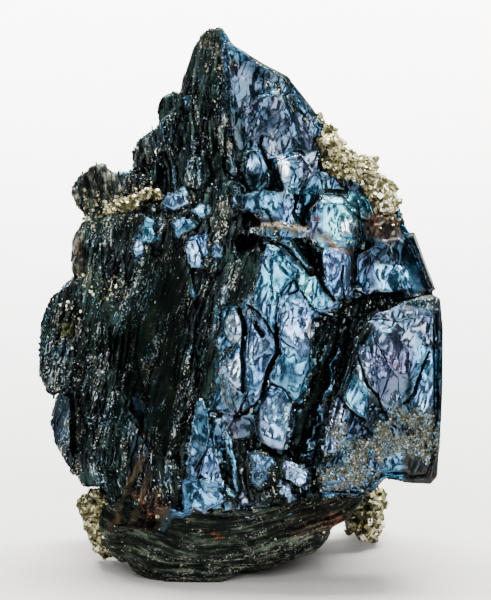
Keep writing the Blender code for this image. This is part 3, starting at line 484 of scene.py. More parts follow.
def levelled(at, out, level):
    """The plates as one broad face where they are level: narrow clefts bridged, small steps smoothed."""
    size = [int((high - low) / LEVEL_CELL) for low, high in LEVEL_BOX]
    start = np.array([low for low, high in LEVEL_BOX])
    spot = (at[:, :2] - start) / LEVEL_CELL
    cell = np.clip(spot.astype(int), 0, np.array(size) - 1)
    heights = np.full(size, LEVEL_BELOW)
    foremost = out[:, 2] > 0.2
    np.maximum.at(heights, tuple(cell[foremost].T), at[foremost, 2])
    heights = spread(spread(heights, LEVEL_REACH, np.max), LEVEL_REACH, np.min)
    for _ in range(3):
        heights = spread(heights, 1, np.mean)
    spot = np.clip(spot - 0.5, 0, np.array(size) - 1.001)
    cell = spot.astype(int)
    part = spot - cell
    (i, j), (s, t) = cell.T, part.T
    height = ((heights[i, j] * (1 - t) + heights[i, j + 1] * t) * (1 - s)
              + (heights[i + 1, j] * (1 - t) + heights[i + 1, j + 1] * t) * s)
    gap = height - at[:, 2]
    outward = smooth(-0.1, 0.3, out[:, 2] + 0.4 * (gap < 2.2))
    share = level * outward * (gap < 4) * smooth(-1.5, -0.6, gap)
    at = at + np.outer(share * gap, (0, 0, 1))
    out = out + (np.array((0, 0, 1.0)) - out) * share[:, None]
    return at, out / np.linalg.norm(out, axis=1, keepdims=True)


LEAF_SIZES = [  # reach of the rims in mm, more where torn, shift, wander to a mm, thickness in mm, seed
    (0.46, 0.00, 0.0, 0.16, 1.50, 31),
    (0.12, 0.18, 0.3, 0.26, 0.66, 32),
    (0.06, 0.08, 0.0, 0.50, 0.36, 33),
]
CELL_SIZE = (3.4, 5.2, 2.8)  # mm across, up and out
CRACK_DEPTH = 2.0  # in widths of the crack
CLEFT_DEPTH, HAIR_DEPTH, SHELF_STEP, WRINKLE = 0.8, 0.16, 0.09, 0.04  # mm
PARTED = 0.35  # mm from the parting within which nothing is moved, so that front and back meet


def tear(at, out, front):
    """The points of a remeshed book moved to where its leaves have torn, and the zones that they are in."""
    found = zones_of(at, front * smooth(-2.5, 0.5, at[:, 2]))
    if np.any(front):
        at, out = levelled(at, out, 0.9 * found["level"])
    basal = smooth(0.72, 0.93, np.abs(out[:, 2])) * (1 - found["foliated"]) * (1 - found["foot"])
    calm = 1 - 0.6 * found["level"]
    warped = at + 0.7 * np.column_stack([noise(at * 0.22, 20 + k) for k in range(3)])
    level = strike(warped, found["foliated"], found["foot"])
    along = np.column_stack([warped[:, 1] + 0.4 * warped[:, 0], warped[:, 2] + 0.6 * warped[:, 0]])
    torn = sum(
        (reach + more * found["foliated"]) * leaves(level + shift, along * wander, thickness, seed)
        for reach, more, shift, wander, thickness, seed in LEAF_SIZES
    )
    moved = (torn - 0.10) * (1 - basal) * (1 - 0.6 * found["dark"]) * (1 - 0.65 * found["side"])
    moved *= 1 - 0.85 * found["rim"]
    number, way = cells(warped / CELL_SIZE, 40)
    turned = [scramble(number, 50 + k) - 0.5 for k in range(3)]
    tilted = 0.30 * turned[0] * way[:, 0] + 0.40 * turned[1] * way[:, 1] + 0.20 * turned[2]
    moved += calm * basal * tilted
    shelves = 3.5 * noise(warped * (0.34, 0.16, 0.3), 86)
    shelf = np.floor(shelves)
    moved += basal * SHELF_STEP * (shelf + smooth(0.88, 1.0, shelves - shelf))
    moved += basal * WRINKLE * (1 - np.abs(noise(warped * (1.5, 0.42, 0.8), 80))) ** 3
    moved -= basal * HAIR_DEPTH * found["hair"]
    grain = 0.11 * noise(at * 2.6, 81) + 0.09 * noise(at * 4.5, 82)
    grainy = [found["gritty"], 0.6 * found["druse"], 0.25 * found["foot"], 0.5 * found["dark"]]
    moved += grain * most(grainy, len(at))
    moved -= CRACK_DEPTH * found["crack"] + CLEFT_DEPTH * found["cleft"]
    found["leafwise"] = np.column_stack([level, 0.12 * along])
    moved *= smooth(0.0, PARTED, np.abs(at[:, 2] - PARTING))
    return at + moved[:, None] * out, found


def finish_of(at, found, basal):
    """Colour, metal and roughness of the mineral at each point, and how earthy it is."""
    count = len(at)
    faces = found["faces"]
    tint = 0.42 + 0.8 * noise(at * 0.25, 84)
    blue = mixed(mixed(np.tile(FINISHES["slate"], (count, 1)), FINISHES["steel"], smooth(0.1, 0.6, tint)),
                 FINISHES["violet"], smooth(0.7, 1.1, tint))
    greenish = smooth(-0.2, 0.6, noise(at * 0.4, 85))
    colour = mixed(np.tile(FINISHES["torn"], (count, 1)), FINISHES["green"], greenish)
    colour = mixed(colour, blue, basal)
    # each plate painted in its finish: partly its own colour, partly painted light, shade and highlights
    for name, share in faces.items():
        if name == "rust":
            continue
        colour = mixed(colour, FINISHES[name], share * (0.15 + 0.85 * basal if name in BRIGHT else 0.9))
    fleck = smooth(0.0, 0.5, noise(at * 2.2, 91))
    lips = line_distance(at[:, :2], CLEFT_LIP, 2.0)
    rusty = faces["rust"] * fleck
    for name, share in (
        ("earth", 0.8 * found["foot"] * (1 - faces["brown"])),
        ("black", 0.85 * found["foot"] * smooth(5.0, 7.6, at[:, 1])),
        ("crust", most([found["gritty"], 0.15 * found["foot"]], count) * fleck),
        ("tan", most([found["tan"] * (0.4 + 0.6 * fleck), 0.6 * found["druse"] * fleck], count)),
        ("ochre", found["ochre"] * (0.6 + 0.4 * fleck)),
        ("black", 0.95 * found["dark"]),
        # painted shade: black down in the cleft, near its lip
        ("black", 0.7 * found["cleft"] * smooth(1.9, 1.2, lips)),
        # painted shade: black in the hairline grooves
        ("black", 0.8 * basal * found["hair"]),
        ("rust", rusty),
    ):
        colour = mixed(colour, FINISHES[name], share)
    earthy = most([0.7 * found["gritty"], rusty, 0.6 * faces["brown"], found["ochre"], found["tan"],
                   faces["olive"], 0.8 * found["foot"]], count)
    metal = 0.95 * (1 - 0.4 * earthy)
    roughness = 0.34 - 0.12 * basal + 0.2 * earthy + 0.22 * found["dark"]
    return colour, metal, roughness, earthy


def vertices_of(mesh):
    flat = np.empty(len(mesh.vertices) * 3)
    mesh.vertices.foreach_get("co", flat)
    return flat.reshape(-1, 3)


def normals_of(mesh):
    flat = np.empty(len(mesh.vertices) * 3)
    mesh.vertex_normals.foreach_get("vector", flat)
    return flat.reshape(-1, 3)


def select_only(piece):
    bpy.ops.object.select_all(action="DESELECT")
    piece.select_set(True)
    bpy.context.view_layer.objects.active = piece


def copy_of(node, name):
    """A merged copy of a node's mesh, as a new piece."""
    made = bpy.data.objects.new(name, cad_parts[node].data.copy())
    bpy.context.scene.collection.objects.link(made)
    made.data.materials.clear()
    select_only(made)
    bpy.ops.object.mode_set(mode="EDIT")
    bpy.ops.mesh.select_all(action="SELECT")
    bpy.ops.mesh.remove_doubles(threshold=1e-7)
    bpy.ops.object.mode_set(mode="OBJECT")
    return made


def apply_modifier(piece, kind, **settings):
    modifier = piece.modifiers.new(kind.lower(), kind)
    for name, value in settings.items():
        setattr(modifier, name, value)
    select_only(piece)
    bpy.ops.object.modifier_apply(modifier=modifier.name)


def keep_side(piece, sign):
    """Cuts away all that is behind the parting, or in front of it."""
    far = 60 * MM
    bpy.ops.mesh.primitive_cube_add(size=far, location=place(0, 28, PARTING) - sign * OUT * far / 2,
                                    rotation=(-LEAN, 0, 0))
    cutter = bpy.context.object
    cutter.scale = (1.5, 1, 1.5)
    apply_modifier(piece, "BOOLEAN", object=cutter, operation="DIFFERENCE", solver="EXACT")
    bpy.data.objects.remove(cutter)


def paint(mesh, colour, metal, roughness, earthy, leafy, apart, leafwise):
    """Writes each point's finish into the mesh, how far off a crack is, and its place among the leaves."""
    layer = mesh.color_attributes.new("finish", "FLOAT_COLOR", "POINT")
    opaque = np.column_stack([colour, np.ones(len(colour))])
    layer.data.foreach_set("color", opaque.astype(np.float32).ravel())
    for name, values in (("metal", metal), ("roughness", roughness), ("earthy", earthy), ("leafy", leafy),
                         ("apart", apart)):
        layer = mesh.attributes.new(name, "FLOAT", "POINT")
        layer.data.foreach_set("value", np.minimum(values, 3).astype(np.float32))
    layer = mesh.attributes.new("leafwise", "FLOAT_VECTOR", "POINT")
    layer.data.foreach_set("vector", leafwise.astype(np.float32).ravel())


def weather(piece, grain, faces, front):
    """Remeshes a side of the book finely, tears it, and thins the mesh where it is flat."""
    apply_modifier(piece, "REMESH", mode="VOXEL", voxel_size=grain)
    apply_modifier(piece, "SMOOTH", factor=0.5, iterations=4)
    mesh = piece.data
    at = on_cleavage(vertices_of(mesh))
    out = normals_of(mesh) @ AXES.T
    at, found = tear(at, out, front)
    points = at @ AXES * MM + np.array(ORIGIN)
    points[:, 2] = np.maximum(points[:, 2], 0)
    mesh.vertices.foreach_set("co", points.ravel())
    mesh.update()
    turned = np.abs((normals_of(mesh) @ AXES.T)[:, 2])
    basal = smooth(0.66, 0.88, turned) * (1 - found["foliated"]) * (1 - found["foot"])
    basal *= 1 - found["cleft"]
    leafy = (1 - basal) * (1 - 0.7 * found["tan"]) * (1 - 0.75 * found["dark"]) * (1 - 0.8 * found["side"])
    leafy = most([leafy, 0.7 * found["striped"]], len(basal))
    paint(mesh, *finish_of(at, found, basal), leafy, found["apart"], found["leafwise"])
    ratio = faces / (2 * len(mesh.polygons))
    if ratio < 1:
        apply_modifier(piece, "DECIMATE", ratio=ratio)
    piece.data.polygons.foreach_set("use_smooth", np.ones(len(piece.data.polygons), bool))


class Nodes:
    """A material's nodes, made and joined in one call each."""

    def __init__(self, name):
        self.material = bpy.data.materials.new(name)
        self.material.use_nodes = True
        self.tree = self.material.node_tree
        self.shader = self.tree.nodes["Principled BSDF"]
        self.place = self.add("TexCoord").outputs["Object"]

    def add(self, kind, **settings):
        made = self.tree.nodes.new("ShaderNode" + kind)
        for name, value in settings.items():
            setattr(made, name, value)
        return made

    def join(self, value, socket):
        if isinstance(value, bpy.types.NodeSocket):
            self.tree.links.new(value, socket)
        elif isinstance(value, tuple) and len(value) == 3 and socket.type == "RGBA":
            socket.default_value = (*value, 1)
        else:
            socket.default_value = value

    def attribute(self, name):
        return self.add("Attribute", attribute_name=name).outputs["Fac"]

    def stretched(self, scale, turn=(0, 0, 0)):
        """The object's own coordinates, turned and then scaled, per metre."""
        mapping = self.add("Mapping", vector_type="TEXTURE")
        mapping.inputs["Rotation"].default_value = turn
        mapping.inputs["Scale"].default_value = [1 / s for s in scale]
        self.join(self.place, mapping.inputs["Vector"])
        return mapping.outputs["Vector"]

    def noise(self, vector, scale=1.0, detail=3.0, rough=0.55, distortion=0.0):
        made = self.add("TexNoise")
        for name, value in (("Vector", vector), ("Scale", scale), ("Detail", detail), ("Roughness", rough),
                            ("Distortion", distortion)):
            self.join(value, made.inputs[name])
        return made.outputs["Fac"]

    def range(self, value, low, high, to_low=0.0, to_high=1.0):
        made = self.add("MapRange", interpolation_type="SMOOTHSTEP")
        for name, given in (("Value", value), ("From Min", low), ("From Max", high), ("To Min", to_low),
                            ("To Max", to_high)):
            self.join(given, made.inputs[name])
        return made.outputs["Result"]

    def math(self, operation, first, second=0.0):
        made = self.add("Math", operation=operation)
        self.join(first, made.inputs[0])
        self.join(second, made.inputs[1])
        return made.outputs[0]

    def mix(self, share, first, second, how="MIX"):
        made = self.add("Mix", data_type="RGBA", blend_type=how)
        self.join(share, made.inputs[0])
        self.join(first, made.inputs[6])
        self.join(second, made.inputs[7])
        return made.outputs[2]

    def times(self, colour, factor):
        return self.mix(1.0, colour, factor, "MULTIPLY")

    def blend(self, share, first, second):
        made = self.add("Mix", data_type="FLOAT")
        self.join(share, made.inputs[0])
        self.join(first, made.inputs[2])
        self.join(second, made.inputs[3])
        return made.outputs[0]

    def ramp(self, share, *stops):
        made = self.add("ValToRGB")
        self.join(share, made.inputs[0])
        band = made.color_ramp.elements
        while len(band) < len(stops):
            band.new(0.5)
        for element, (position, colour) in zip(band, stops):
            element.position = position
            element.color = (*colour, 1)
        return made.outputs[0]

    def bump(self, height, distance, strength=1.0, normal=None):
        made = self.add("Bump")
        self.join(height, made.inputs["Height"])
        self.join(distance, made.inputs["Distance"])
        self.join(strength, made.inputs["Strength"])
        if normal:
            self.join(normal, made.inputs["Normal"])
        return made.outputs["Normal"]

    def finish(self, **values):
        for name, value in values.items():
            self.join(value, self.shader.inputs["Base Color" if name == "colour" else name.capitalize()])
        return self.material


GRAZING_TINT = (0.20, 0.22, 0.22, 1)  # the mineral stays dark where it is seen at a grazing angle
# painted shade and painted highlights, each multiplying a plate's finish over its folds and grains
CRUMPLE_PAINTED_SHADE = (0.20, 0.34, 0.44)
GRAIN_PAINTED_SHADE = (0.35, 0.5, 0.6)
PAINTED_GLEAM = (3.0, 2.4, 1.9)
# painted shade: black down in the cracks
CRACK_PAINTED_SHADE = (0.002, 0.003, 0.003)
# painted shade: dark lines along the folds of the plates
FOLD_PAINTED_SHADE = (0.003, 0.006, 0.009)
CRUMPLE_SCALE = (680, 520, 280)  # folds to a metre across, out and up
CREASE_SCALE = (520, 400, 250)
GRAIN_SCALE = (5200, 3000, 1300)
FOLD_HEIGHT, RIBBON_HEIGHT, FINE_HEIGHT = 0.6 * MM, 0.14 * MM, 0.05 * MM


def covellite_material():
    """The finish painted on the mineral: streaked along the leaves, flecked and crazed on the plates, with
    painted glints, highlights and shade.
    """
    m = Nodes("covellite")
    painted = m.add("Attribute", attribute_name="finish").outputs["Color"]
    leafwise = m.add("Attribute", attribute_name="leafwise").outputs["Vector"]
    leafy = m.attribute("leafy")
    plain = m.math("SUBTRACT", 1.0, leafy)
    broad = m.noise(m.place, 260, 3)
    patchy = m.noise(m.place, 560, 3, 0.6)
    fine = m.noise(m.place, 2600, 4, 0.65)
    ribbon = m.noise(leafwise, 2.4, 5, 0.68)
    bands = m.noise(leafwise, 0.75, 2, 0.6)
    crumple = m.noise(m.stretched(CRUMPLE_SCALE, (-LEAN, radians(24), 0)), 1, 1, 0.35, 0.5)
    creased = m.noise(m.stretched(CREASE_SCALE, (-LEAN, radians(-22), 0)), 1, 1, 0.35, 0.5)
    grained = m.noise(m.stretched(GRAIN_SCALE, (-LEAN, radians(12), 0)), 1, 2, 0.6)

    sheen = m.ramp(m.range(broad, 0.3, 0.7), (0.0, (0.78, 1.10, 1.02)), (0.5, (1.0, 1.0, 1.0)),
                   (1.0, (1.12, 0.92, 1.06)))
    plate = m.times(painted, sheen)
    # painted shade where the crumpled folds turn away, painted highlights where creases and grains catch the
    # light
    for pattern, low, high, at_low, at_high, change in (
        (crumple, 0.45, 0.70, 0.0, 0.62, CRUMPLE_PAINTED_SHADE),
        (creased, 0.52, 0.72, 0.0, 0.65, PAINTED_GLEAM),
        (grained, 0.32, 0.50, 0.12, 0.0, GRAIN_PAINTED_SHADE),
        (grained, 0.60, 0.74, 0.0, 0.25, PAINTED_GLEAM),
    ):
        plate = m.mix(m.range(pattern, low, high, at_low, at_high), plate, m.times(painted, change))
    # painted shade: thin dark lines along the folds, in patches
    folds = []
    for veins, width in ((crumple, 0.008), (creased, 0.007)):
        fold = m.math("ABSOLUTE", m.math("SUBTRACT", veins, 0.5))
        line = m.range(fold, 0.3 * width, width, 0.85, 0.0)
        plate = m.mix(m.math("MULTIPLY", line, m.range(patchy, 0.46, 0.56)), plate, FOLD_PAINTED_SHADE)
        folds.append(fold)

    torn = m.mix(m.range(ribbon, 0.38, 0.58), m.times(painted, (0.22, 0.22, 0.22)),
                 m.times(painted, (2.0, 2.0, 2.0)))
    lively = m.range(m.math("ADD", bands, m.math("MULTIPLY", patchy, 0.6)), 0.66, 0.94)
    # the leaves' own lighter streaks, brightened as painted highlights where their edges catch the light
    streaks_and_highlights = m.math("MULTIPLY", m.range(ribbon, 0.53, 0.67), lively)
    torn = m.mix(streaks_and_highlights, torn, m.ramp(broad, (0.42, (0.045, 0.105, 0.155)), (0.53, (0.080, 0.110, 0.108)),
                                       (0.64, (0.130, 0.130, 0.105))))
    # painted highlights: sparks and glints along the leaves, in pale painted colours
    painted_sparks = m.math("SUBTRACT", m.noise(m.place, 5200, 1), 0.03)
    painted_glints = m.math("MAXIMUM", m.noise(leafwise, 7.0, 3, 0.7), painted_sparks)
    painted_glints = m.math("SUBTRACT", painted_glints, m.math("SUBTRACT", 0.715, m.math("MULTIPLY", lively, 0.14)))
    painted_spark_colour = m.ramp(broad, (0.36, (0.18, 0.36, 0.50)), (0.5, (0.45, 0.52, 0.52)),
                          (0.64, (0.55, 0.52, 0.42)))
    torn = m.mix(m.range(painted_glints, 0.0, 0.05, 0.0, 0.95), torn, painted_spark_colour)
    flow = m.math("ADD", m.math("MULTIPLY", m.noise(leafwise, 2.2, 5, 0.72, 0.5), 0.7),
                  m.math("ADD", m.math("MULTIPLY", fine, 0.15), m.math("MULTIPLY", patchy, 0.15)))
    grainy = m.times(painted, m.ramp(flow, (0.43, (0.12, 0.12, 0.12)), (0.51, (0.7, 0.7, 0.7)),
                                     (0.62, (6.5, 6.0, 5.2))))
    # painted highlights on the earthy parts too
    grainy = m.mix(m.range(painted_glints, 0.01, 0.06, 0.0, 0.5), grainy, (0.30, 0.30, 0.26))
    torn = m.mix(m.range(m.attribute("earthy"), 0.2, 0.7), torn, grainy)

    colour = m.mix(leafy, plate, torn)
    # painted shade: black down in the cracks
    crack_shade = m.range(m.attribute("apart"), 0.70, 1.20, 1.0, 0.0)
    colour = m.mix(crack_shade, colour, CRACK_PAINTED_SHADE)
    roughness = m.math("ADD", m.attribute("roughness"), m.range(fine, 0.3, 0.7, -0.08, 0.10))
    normal = m.bump(ribbon, RIBBON_HEIGHT, m.math("MULTIPLY", leafy, 0.9))
    for fold in folds:
        normal = m.bump(fold, FOLD_HEIGHT, m.math("MULTIPLY", plain, 0.9), normal)
    normal = m.bump(fine, FINE_HEIGHT, m.blend(leafy, 0.07, 0.7), normal)
    m.shader.inputs["Specular Tint"].default_value = GRAZING_TINT
    return m.finish(colour=colour, metallic=m.attribute("metal"), roughness=roughness, normal=normal)


FOOT_LUMPS = [  # middle and half size across, up and out in mm, and the turn in the picture's plane
    ((-8.0, 3.5, 5.3), (3.9, 3.1, 2.9), 10),
    ((-11.2, 4.8, 3.6), (2.5, 2.7, 2.4), 25),
    ((4.2, 4.3, 5.2), (5.4, 2.1, 2.6), -20),
]
covellite = covellite_material()
front = copy_of("covellite_mass", "covellite_front")
keep_side(front, 1)
for middle, half, turn in FOOT_LUMPS:
    bpy.ops.mesh.primitive_uv_sphere_add(segments=24, ring_count=14, radius=MM, location=place(*middle))
    lump = bpy.context.object
    turned = Matrix.Rotation(-LEAN, 3, "X") @ Matrix.Rotation(radians(turn), 3, "Y")
    lump.rotation_euler = turned.to_euler()
    lump.scale = (half[0], half[2], half[1])
    lump.select_set(True)
    front.select_set(True)
    bpy.context.view_layer.objects.active = front
    bpy.ops.object.join()
weather(front, FRONT_GRAIN, FRONT_FACES, 1.0)
front.data.materials.append(covellite)
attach(front, "root")
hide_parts("covellite_mass")

# The back of the book
# Real piece: the rest of the same grown mass, behind the parting between two leaves. Its plates are torn back
# in ragged steps. Made as the front is, on a coarser mesh.
BACK_GRAIN = 0.24 * MM
BACK_FACES = 150_000

back = copy_of("covellite_mass", "covellite_back")
keep_side(back, -1)
weather(back, BACK_GRAIN, BACK_FACES, 0.0)
back.data.materials.append(covellite)
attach(back, "root")
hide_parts("covellite_mass")

# Splinters in the torn edges
# Real pieces: slivers of leaf standing out of the edges of the book, up to 2.5 mm long and a tenth or two
# thick, most of them black or bottle green and a few that catch the light. Made as thin slips, a share of
# them painted pale as painted highlights.
CUBE_CORNERS = np.array(list(product((-0.5, 0.5), repeat=3)))
CUBE_FACES = np.array([(0, 1, 3, 2), (4, 6, 7, 5), (0, 4, 5, 1), (2, 3, 7, 6), (0, 2, 6, 4), (1, 5, 7, 3)])
SPLINTERS = 11_000
SPLINTER_PAINTED_GLINTS = 0.10  # share of them painted pale, as painted highlights
SLIP_LEAST = np.array((0.035, 0.16, 0.25))  # half of the thickness, width and length, in mm
SLIP_MORE = np.array((0.06, 0.22, 1.0))
PAINTED_GLINT_COLOURS = ((0.20, 0.30, 0.36), (0.10, 0.24, 0.38), (0.30, 0.32, 0.30), (0.14, 0.21, 0.17))


def scattered(mesh, count, chance, chosen=None):
    """Points spread evenly over the chosen triangles of a mesh, each with its face's normal."""
    mesh.calc_loop_triangles()
    faces = np.empty(len(mesh.loop_triangles) * 3, np.int32)
    mesh.loop_triangles.foreach_get("vertices", faces)
    corners = vertices_of(mesh)[faces.reshape(-1, 3)]
    normals = np.cross(corners[:, 1] - corners[:, 0], corners[:, 2] - corners[:, 0])
    areas = np.linalg.norm(normals, axis=1)
    normals /= np.maximum(areas, 1e-15)[:, None]
    if chosen is not None:
        areas = areas * chosen(corners.mean(axis=1), normals)
    picked = chance.choice(len(areas), count, p=areas / areas.sum())
    shares = chance.random((count, 2))
    shares = np.where(shares.sum(axis=1, keepdims=True) > 1, 1 - shares, shares)
    first, second, third = corners[picked].transpose(1, 0, 2)
    points = first + shares[:, :1] * (second - first) + shares[:, 1:] * (third - first)
    return points, normals[picked]


def unit(vectors):
    return vectors / np.maximum(np.linalg.norm(vectors, axis=1, keepdims=True), 1e-12)


def boxes(name, corners):
    """One piece of many small boxes, from the eight corners of each."""
    faces = CUBE_FACES + 8 * np.arange(len(corners))[:, None, None]
    mesh = bpy.data.meshes.new(name)
    mesh.from_pydata(corners.reshape(-1, 3), [], faces.reshape(-1, 4).tolist())
    made = bpy.data.objects.new(name, mesh)
    bpy.context.scene.collection.objects.link(made)
    return made


def splinters(name, points, normals, chance):
    """Thin slips that lie in the leaves' own planes and stand out of the surface."""
    count = len(points)
    at, out = on_cleavage(points), normals @ AXES.T
    found = zones_of(at, smooth(-2.5, 0.5, at[:, 2]))
    foliated, foot = found["foliated"], found["foot"]
    level = strike(at, foliated, foot)
    rise = np.column_stack([strike(at + step, foliated, foot) - level for step in 0.2 * np.eye(3)])
    thin = unit(unit(rise) + 0.12 * chance.normal(size=(count, 3)))
    wanted = np.where(foot[:, None] > 0.5, (1.0, 0.0, 0.2), (0.05, 1.0, 0.0))
    wide = unit(np.cross(wanted + 0.22 * chance.normal(size=(count, 3)), thin))
    long = np.cross(thin, wide)
    size = chance.random((count, 3))
    size[:, 2] **= 2.2
    half = SLIP_LEAST + SLIP_MORE * size
    half[:, 2] *= 1 - 0.75 * np.abs((long * out).sum(axis=1))
    axes = np.stack([thin, wide, long], axis=1) * half[:, :, None]
    stands_out = np.abs((axes * out[:, None]).sum(axis=2)).sum(axis=1, keepdims=True)
    sunk = 0.30 + 0.17 * smooth(0.5, 0.2, np.abs(out[:, 2:]))
    corners = (at - sunk * stands_out * out)[:, None] + np.einsum("kj,njc->nkc", CUBE_CORNERS, axes)
    corners = corners @ AXES * MM + np.array(ORIGIN)
    corners[..., 2] = np.maximum(corners[..., 2], 0.01 * MM)
    colour, metal, roughness, earthy = finish_of(at, found, np.zeros(count))
    colour = colour * chance.uniform(0.4, 2.4, (count, 1))
    # painted highlights: a share of the slips painted pale, as if they caught the light
    painted_glints = chance.random(count) < SPLINTER_PAINTED_GLINTS
    shades = np.array(PAINTED_GLINT_COLOURS)[chance.integers(len(PAINTED_GLINT_COLOURS), size=count)]
    colour = np.where(painted_glints[:, None], shades * chance.uniform(0.4, 1.1, (count, 1)), colour)
    spot = np.column_stack([level, 0.12 * at[:, 1:]])
    finish = (colour, metal, roughness, earthy, np.ones(count), found["apart"], spot)
    made = boxes(name, corners)
    paint(made.data, *(np.repeat(values, 8, axis=0) for values in finish))
    return made


def on_torn(points, normals):
    at = on_cleavage(points)
    found = zones_of(at, np.ones(len(at)))
    turned = np.abs(normals @ np.array(OUT))
    torn = most([found["foliated"], found["foot"], 0.6 * smooth(0.75, 0.5, turned)], len(turned))
    torn *= (1 - 0.93 * found["dark"]) * (1 - 0.5 * found["gritty"])
    torn *= (1 - 0.8 * found["side"]) * (1 - found["rim"])
    return torn * (1 - 0.6 * found["foot"]) * (at[:, 1] > 1.5) + 1e-4


chance = np.random.default_rng(3)
points, normals = scattered(front.data, SPLINTERS, chance, on_torn)
slips = splinters("splinters", points, normals, chance)
slips.data.materials.append(covellite)
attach(slips, "root")

# Pyrite crusts
# Real pieces: brassy cubes of pyrite, the largest 2 mm across, grown over each other in pockets of the
# covellite and peppered with smaller grains. Made from each crust's solid, worn back a little and bevelled,
# with thousands of small cubes set into its faces.
def turns(count, chance):
    """Random rotations, as matrices."""
    spun = chance.normal(size=(count, 4))
    w, x, y, z = (spun / np.linalg.norm(spun, axis=1, keepdims=True)).T
    rows = [
        [1 - 2 * (y * y + z * z), 2 * (x * y - z * w), 2 * (x * z + y * w)],
        [2 * (x * y + z * w), 1 - 2 * (x * x + z * z), 2 * (y * z - x * w)],
        [2 * (x * z - y * w), 2 * (y * z + x * w), 1 - 2 * (x * x + y * y)],
    ]
    return np.array(rows).transpose(2, 0, 1)


def write_tone(mesh, values):
    layer = mesh.attributes.new("tone", "FLOAT", "POINT")
    layer.data.foreach_set("value", values.astype(np.float32))


def cubes(name, points, edges, chance, dullness=1.0):
    """One mesh of many small cubes, each turned its own way."""
    count = len(points)
    shape = chance.uniform(0.75, 1.25, (count, 1, 3)) * edges[:, None, None]
    corners = np.einsum("nij,nkj->nki", turns(count, chance), CUBE_CORNERS * shape) + points[:, None]
    made = boxes(name, corners)
    write_tone(made.data, np.repeat(chance.random(count) ** dullness, 8))
    return made


def pyrite_material():
    """Pale brass with darker, browner tarnish in the hollows and the odd green or orange flush."""
    m = Nodes("pyrite")
    broad = m.noise(m.place, 420, 3)
    fine = m.noise(m.place, 2600, 3, 0.6)
    tone = m.attribute("tone")
    colour = m.ramp(tone, (0.0, (0.03, 0.03, 0.014)), (0.3, (0.20, 0.19, 0.085)),
                    (0.65, (0.58, 0.54, 0.31)), (1.0, (1.0, 0.96, 0.76)))
    colour = m.mix(m.range(broad, 0.48, 0.66, 0.0, 0.75), colour, (0.075, 0.070, 0.042))
    colour = m.mix(m.range(fine, 0.6, 0.8, 0.0, 0.35), colour, (0.30, 0.17, 0.06))
    roughness = m.range(fine, 0.3, 0.7, 0.30, 0.52)
    normal = m.bump(fine, 0.04 * MM, 0.5)
    return m.finish(colour=colour, metallic=0.95, roughness=roughness, normal=normal)


pyrite = pyrite_material()
BEVEL = 0.07 * MM
CORE_TONE = 0.1
GRAINS = {  # how many, least and greatest edge in mm, how dull, and how far the solid is worn back in mm
    "pyrite_right_shoulder": (6000, 0.12, 0.46, 0.9, 0.10),
    "pyrite_lower_left": (3600, 0.12, 0.40, 1.2, 0.45),
    "pyrite_rear_foot": (1700, 0.20, 0.65, 1.6, 0.15),
    "pyrite_left_seam": (1300, 0.10, 0.34, 1.8, 0.50),
}
for node, (count, least, greatest, dullness, worn) in GRAINS.items():
    crust = copy_of(node, f"{node}_crust")
    apply_modifier(crust, "DISPLACE", strength=-worn * MM, mid_level=0)
    apply_modifier(crust, "BEVEL", width=BEVEL, segments=1, limit_method="ANGLE", angle_limit=radians(30))
    write_tone(crust.data, np.full(len(crust.data.vertices), CORE_TONE))
    points, normals = scattered(crust.data, count, chance)
    edges = MM * (least + (greatest - least) * chance.random(count) ** 2.2)
    points -= normals * edges[:, None] * 0.2
    points[:, 2] = np.maximum(points[:, 2], 0.6 * edges)
    grains = cubes(f"{node}_grains", points, edges, chance, dullness)
    select_only(crust)
    grains.select_set(True)
    bpy.ops.object.join()
    crust.data.materials.append(pyrite)
    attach(crust, "root")
    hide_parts(node)

# The grey crust on the right slab
# Real piece: a druse of tiny grey-brown and olive crystals, 0.05 to 0.2 mm across, grown over the lower half
# of the slab. Made as several thousand grains seated in the slab's face.
DRUSE_GRAINS = 9000
DRUSE_EDGE = (0.06, 0.13)  # mm: the least, and how much more the greatest is


def druse_material():
    m = Nodes("druse")
    tone = m.attribute("tone")
    fine = m.noise(m.place, 1800, 3, 0.6)
    colour = m.ramp(tone, (0.0, (0.012, 0.013, 0.009)), (0.40, (0.075, 0.070, 0.042)),
                    (0.72, (0.19, 0.18, 0.125)), (0.84, (0.06, 0.14, 0.20)), (0.95, (0.14, 0.34, 0.44)),
                    (1.0, (0.75, 0.75, 0.66)))
    roughness = m.range(fine, 0.3, 0.7, 0.25, 0.5)
    return m.finish(colour=colour, metallic=0.45, roughness=roughness, normal=m.bump(fine, 0.03 * MM, 0.4))


def on_druse(points, normals):
    at = on_cleavage(points)
    wander = np.column_stack([noise(at * 0.9, 5 + k) for k in (0, 1)])
    facing = smooth(0.2, 0.6, normals @ np.array(OUT))
    crowded = smooth(-0.35, 0.25, noise(at * 0.7, 71)) * smooth(-0.9, 0.3, noise(at * 2.0, 72))
    grown = patch(at[:, :2] + 0.9 * wander, DRUSE[0], 0.9)
    return grown * crowded * facing * (at[:, 0] > 7) + 1e-6


points, normals = scattered(front.data, DRUSE_GRAINS, chance, on_druse)
edges = MM * (DRUSE_EDGE[0] + DRUSE_EDGE[1] * chance.random(DRUSE_GRAINS) ** 2)
druse = cubes("druse_grains", points, edges, chance)
druse.data.materials.append(druse_material())
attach(druse, "root")

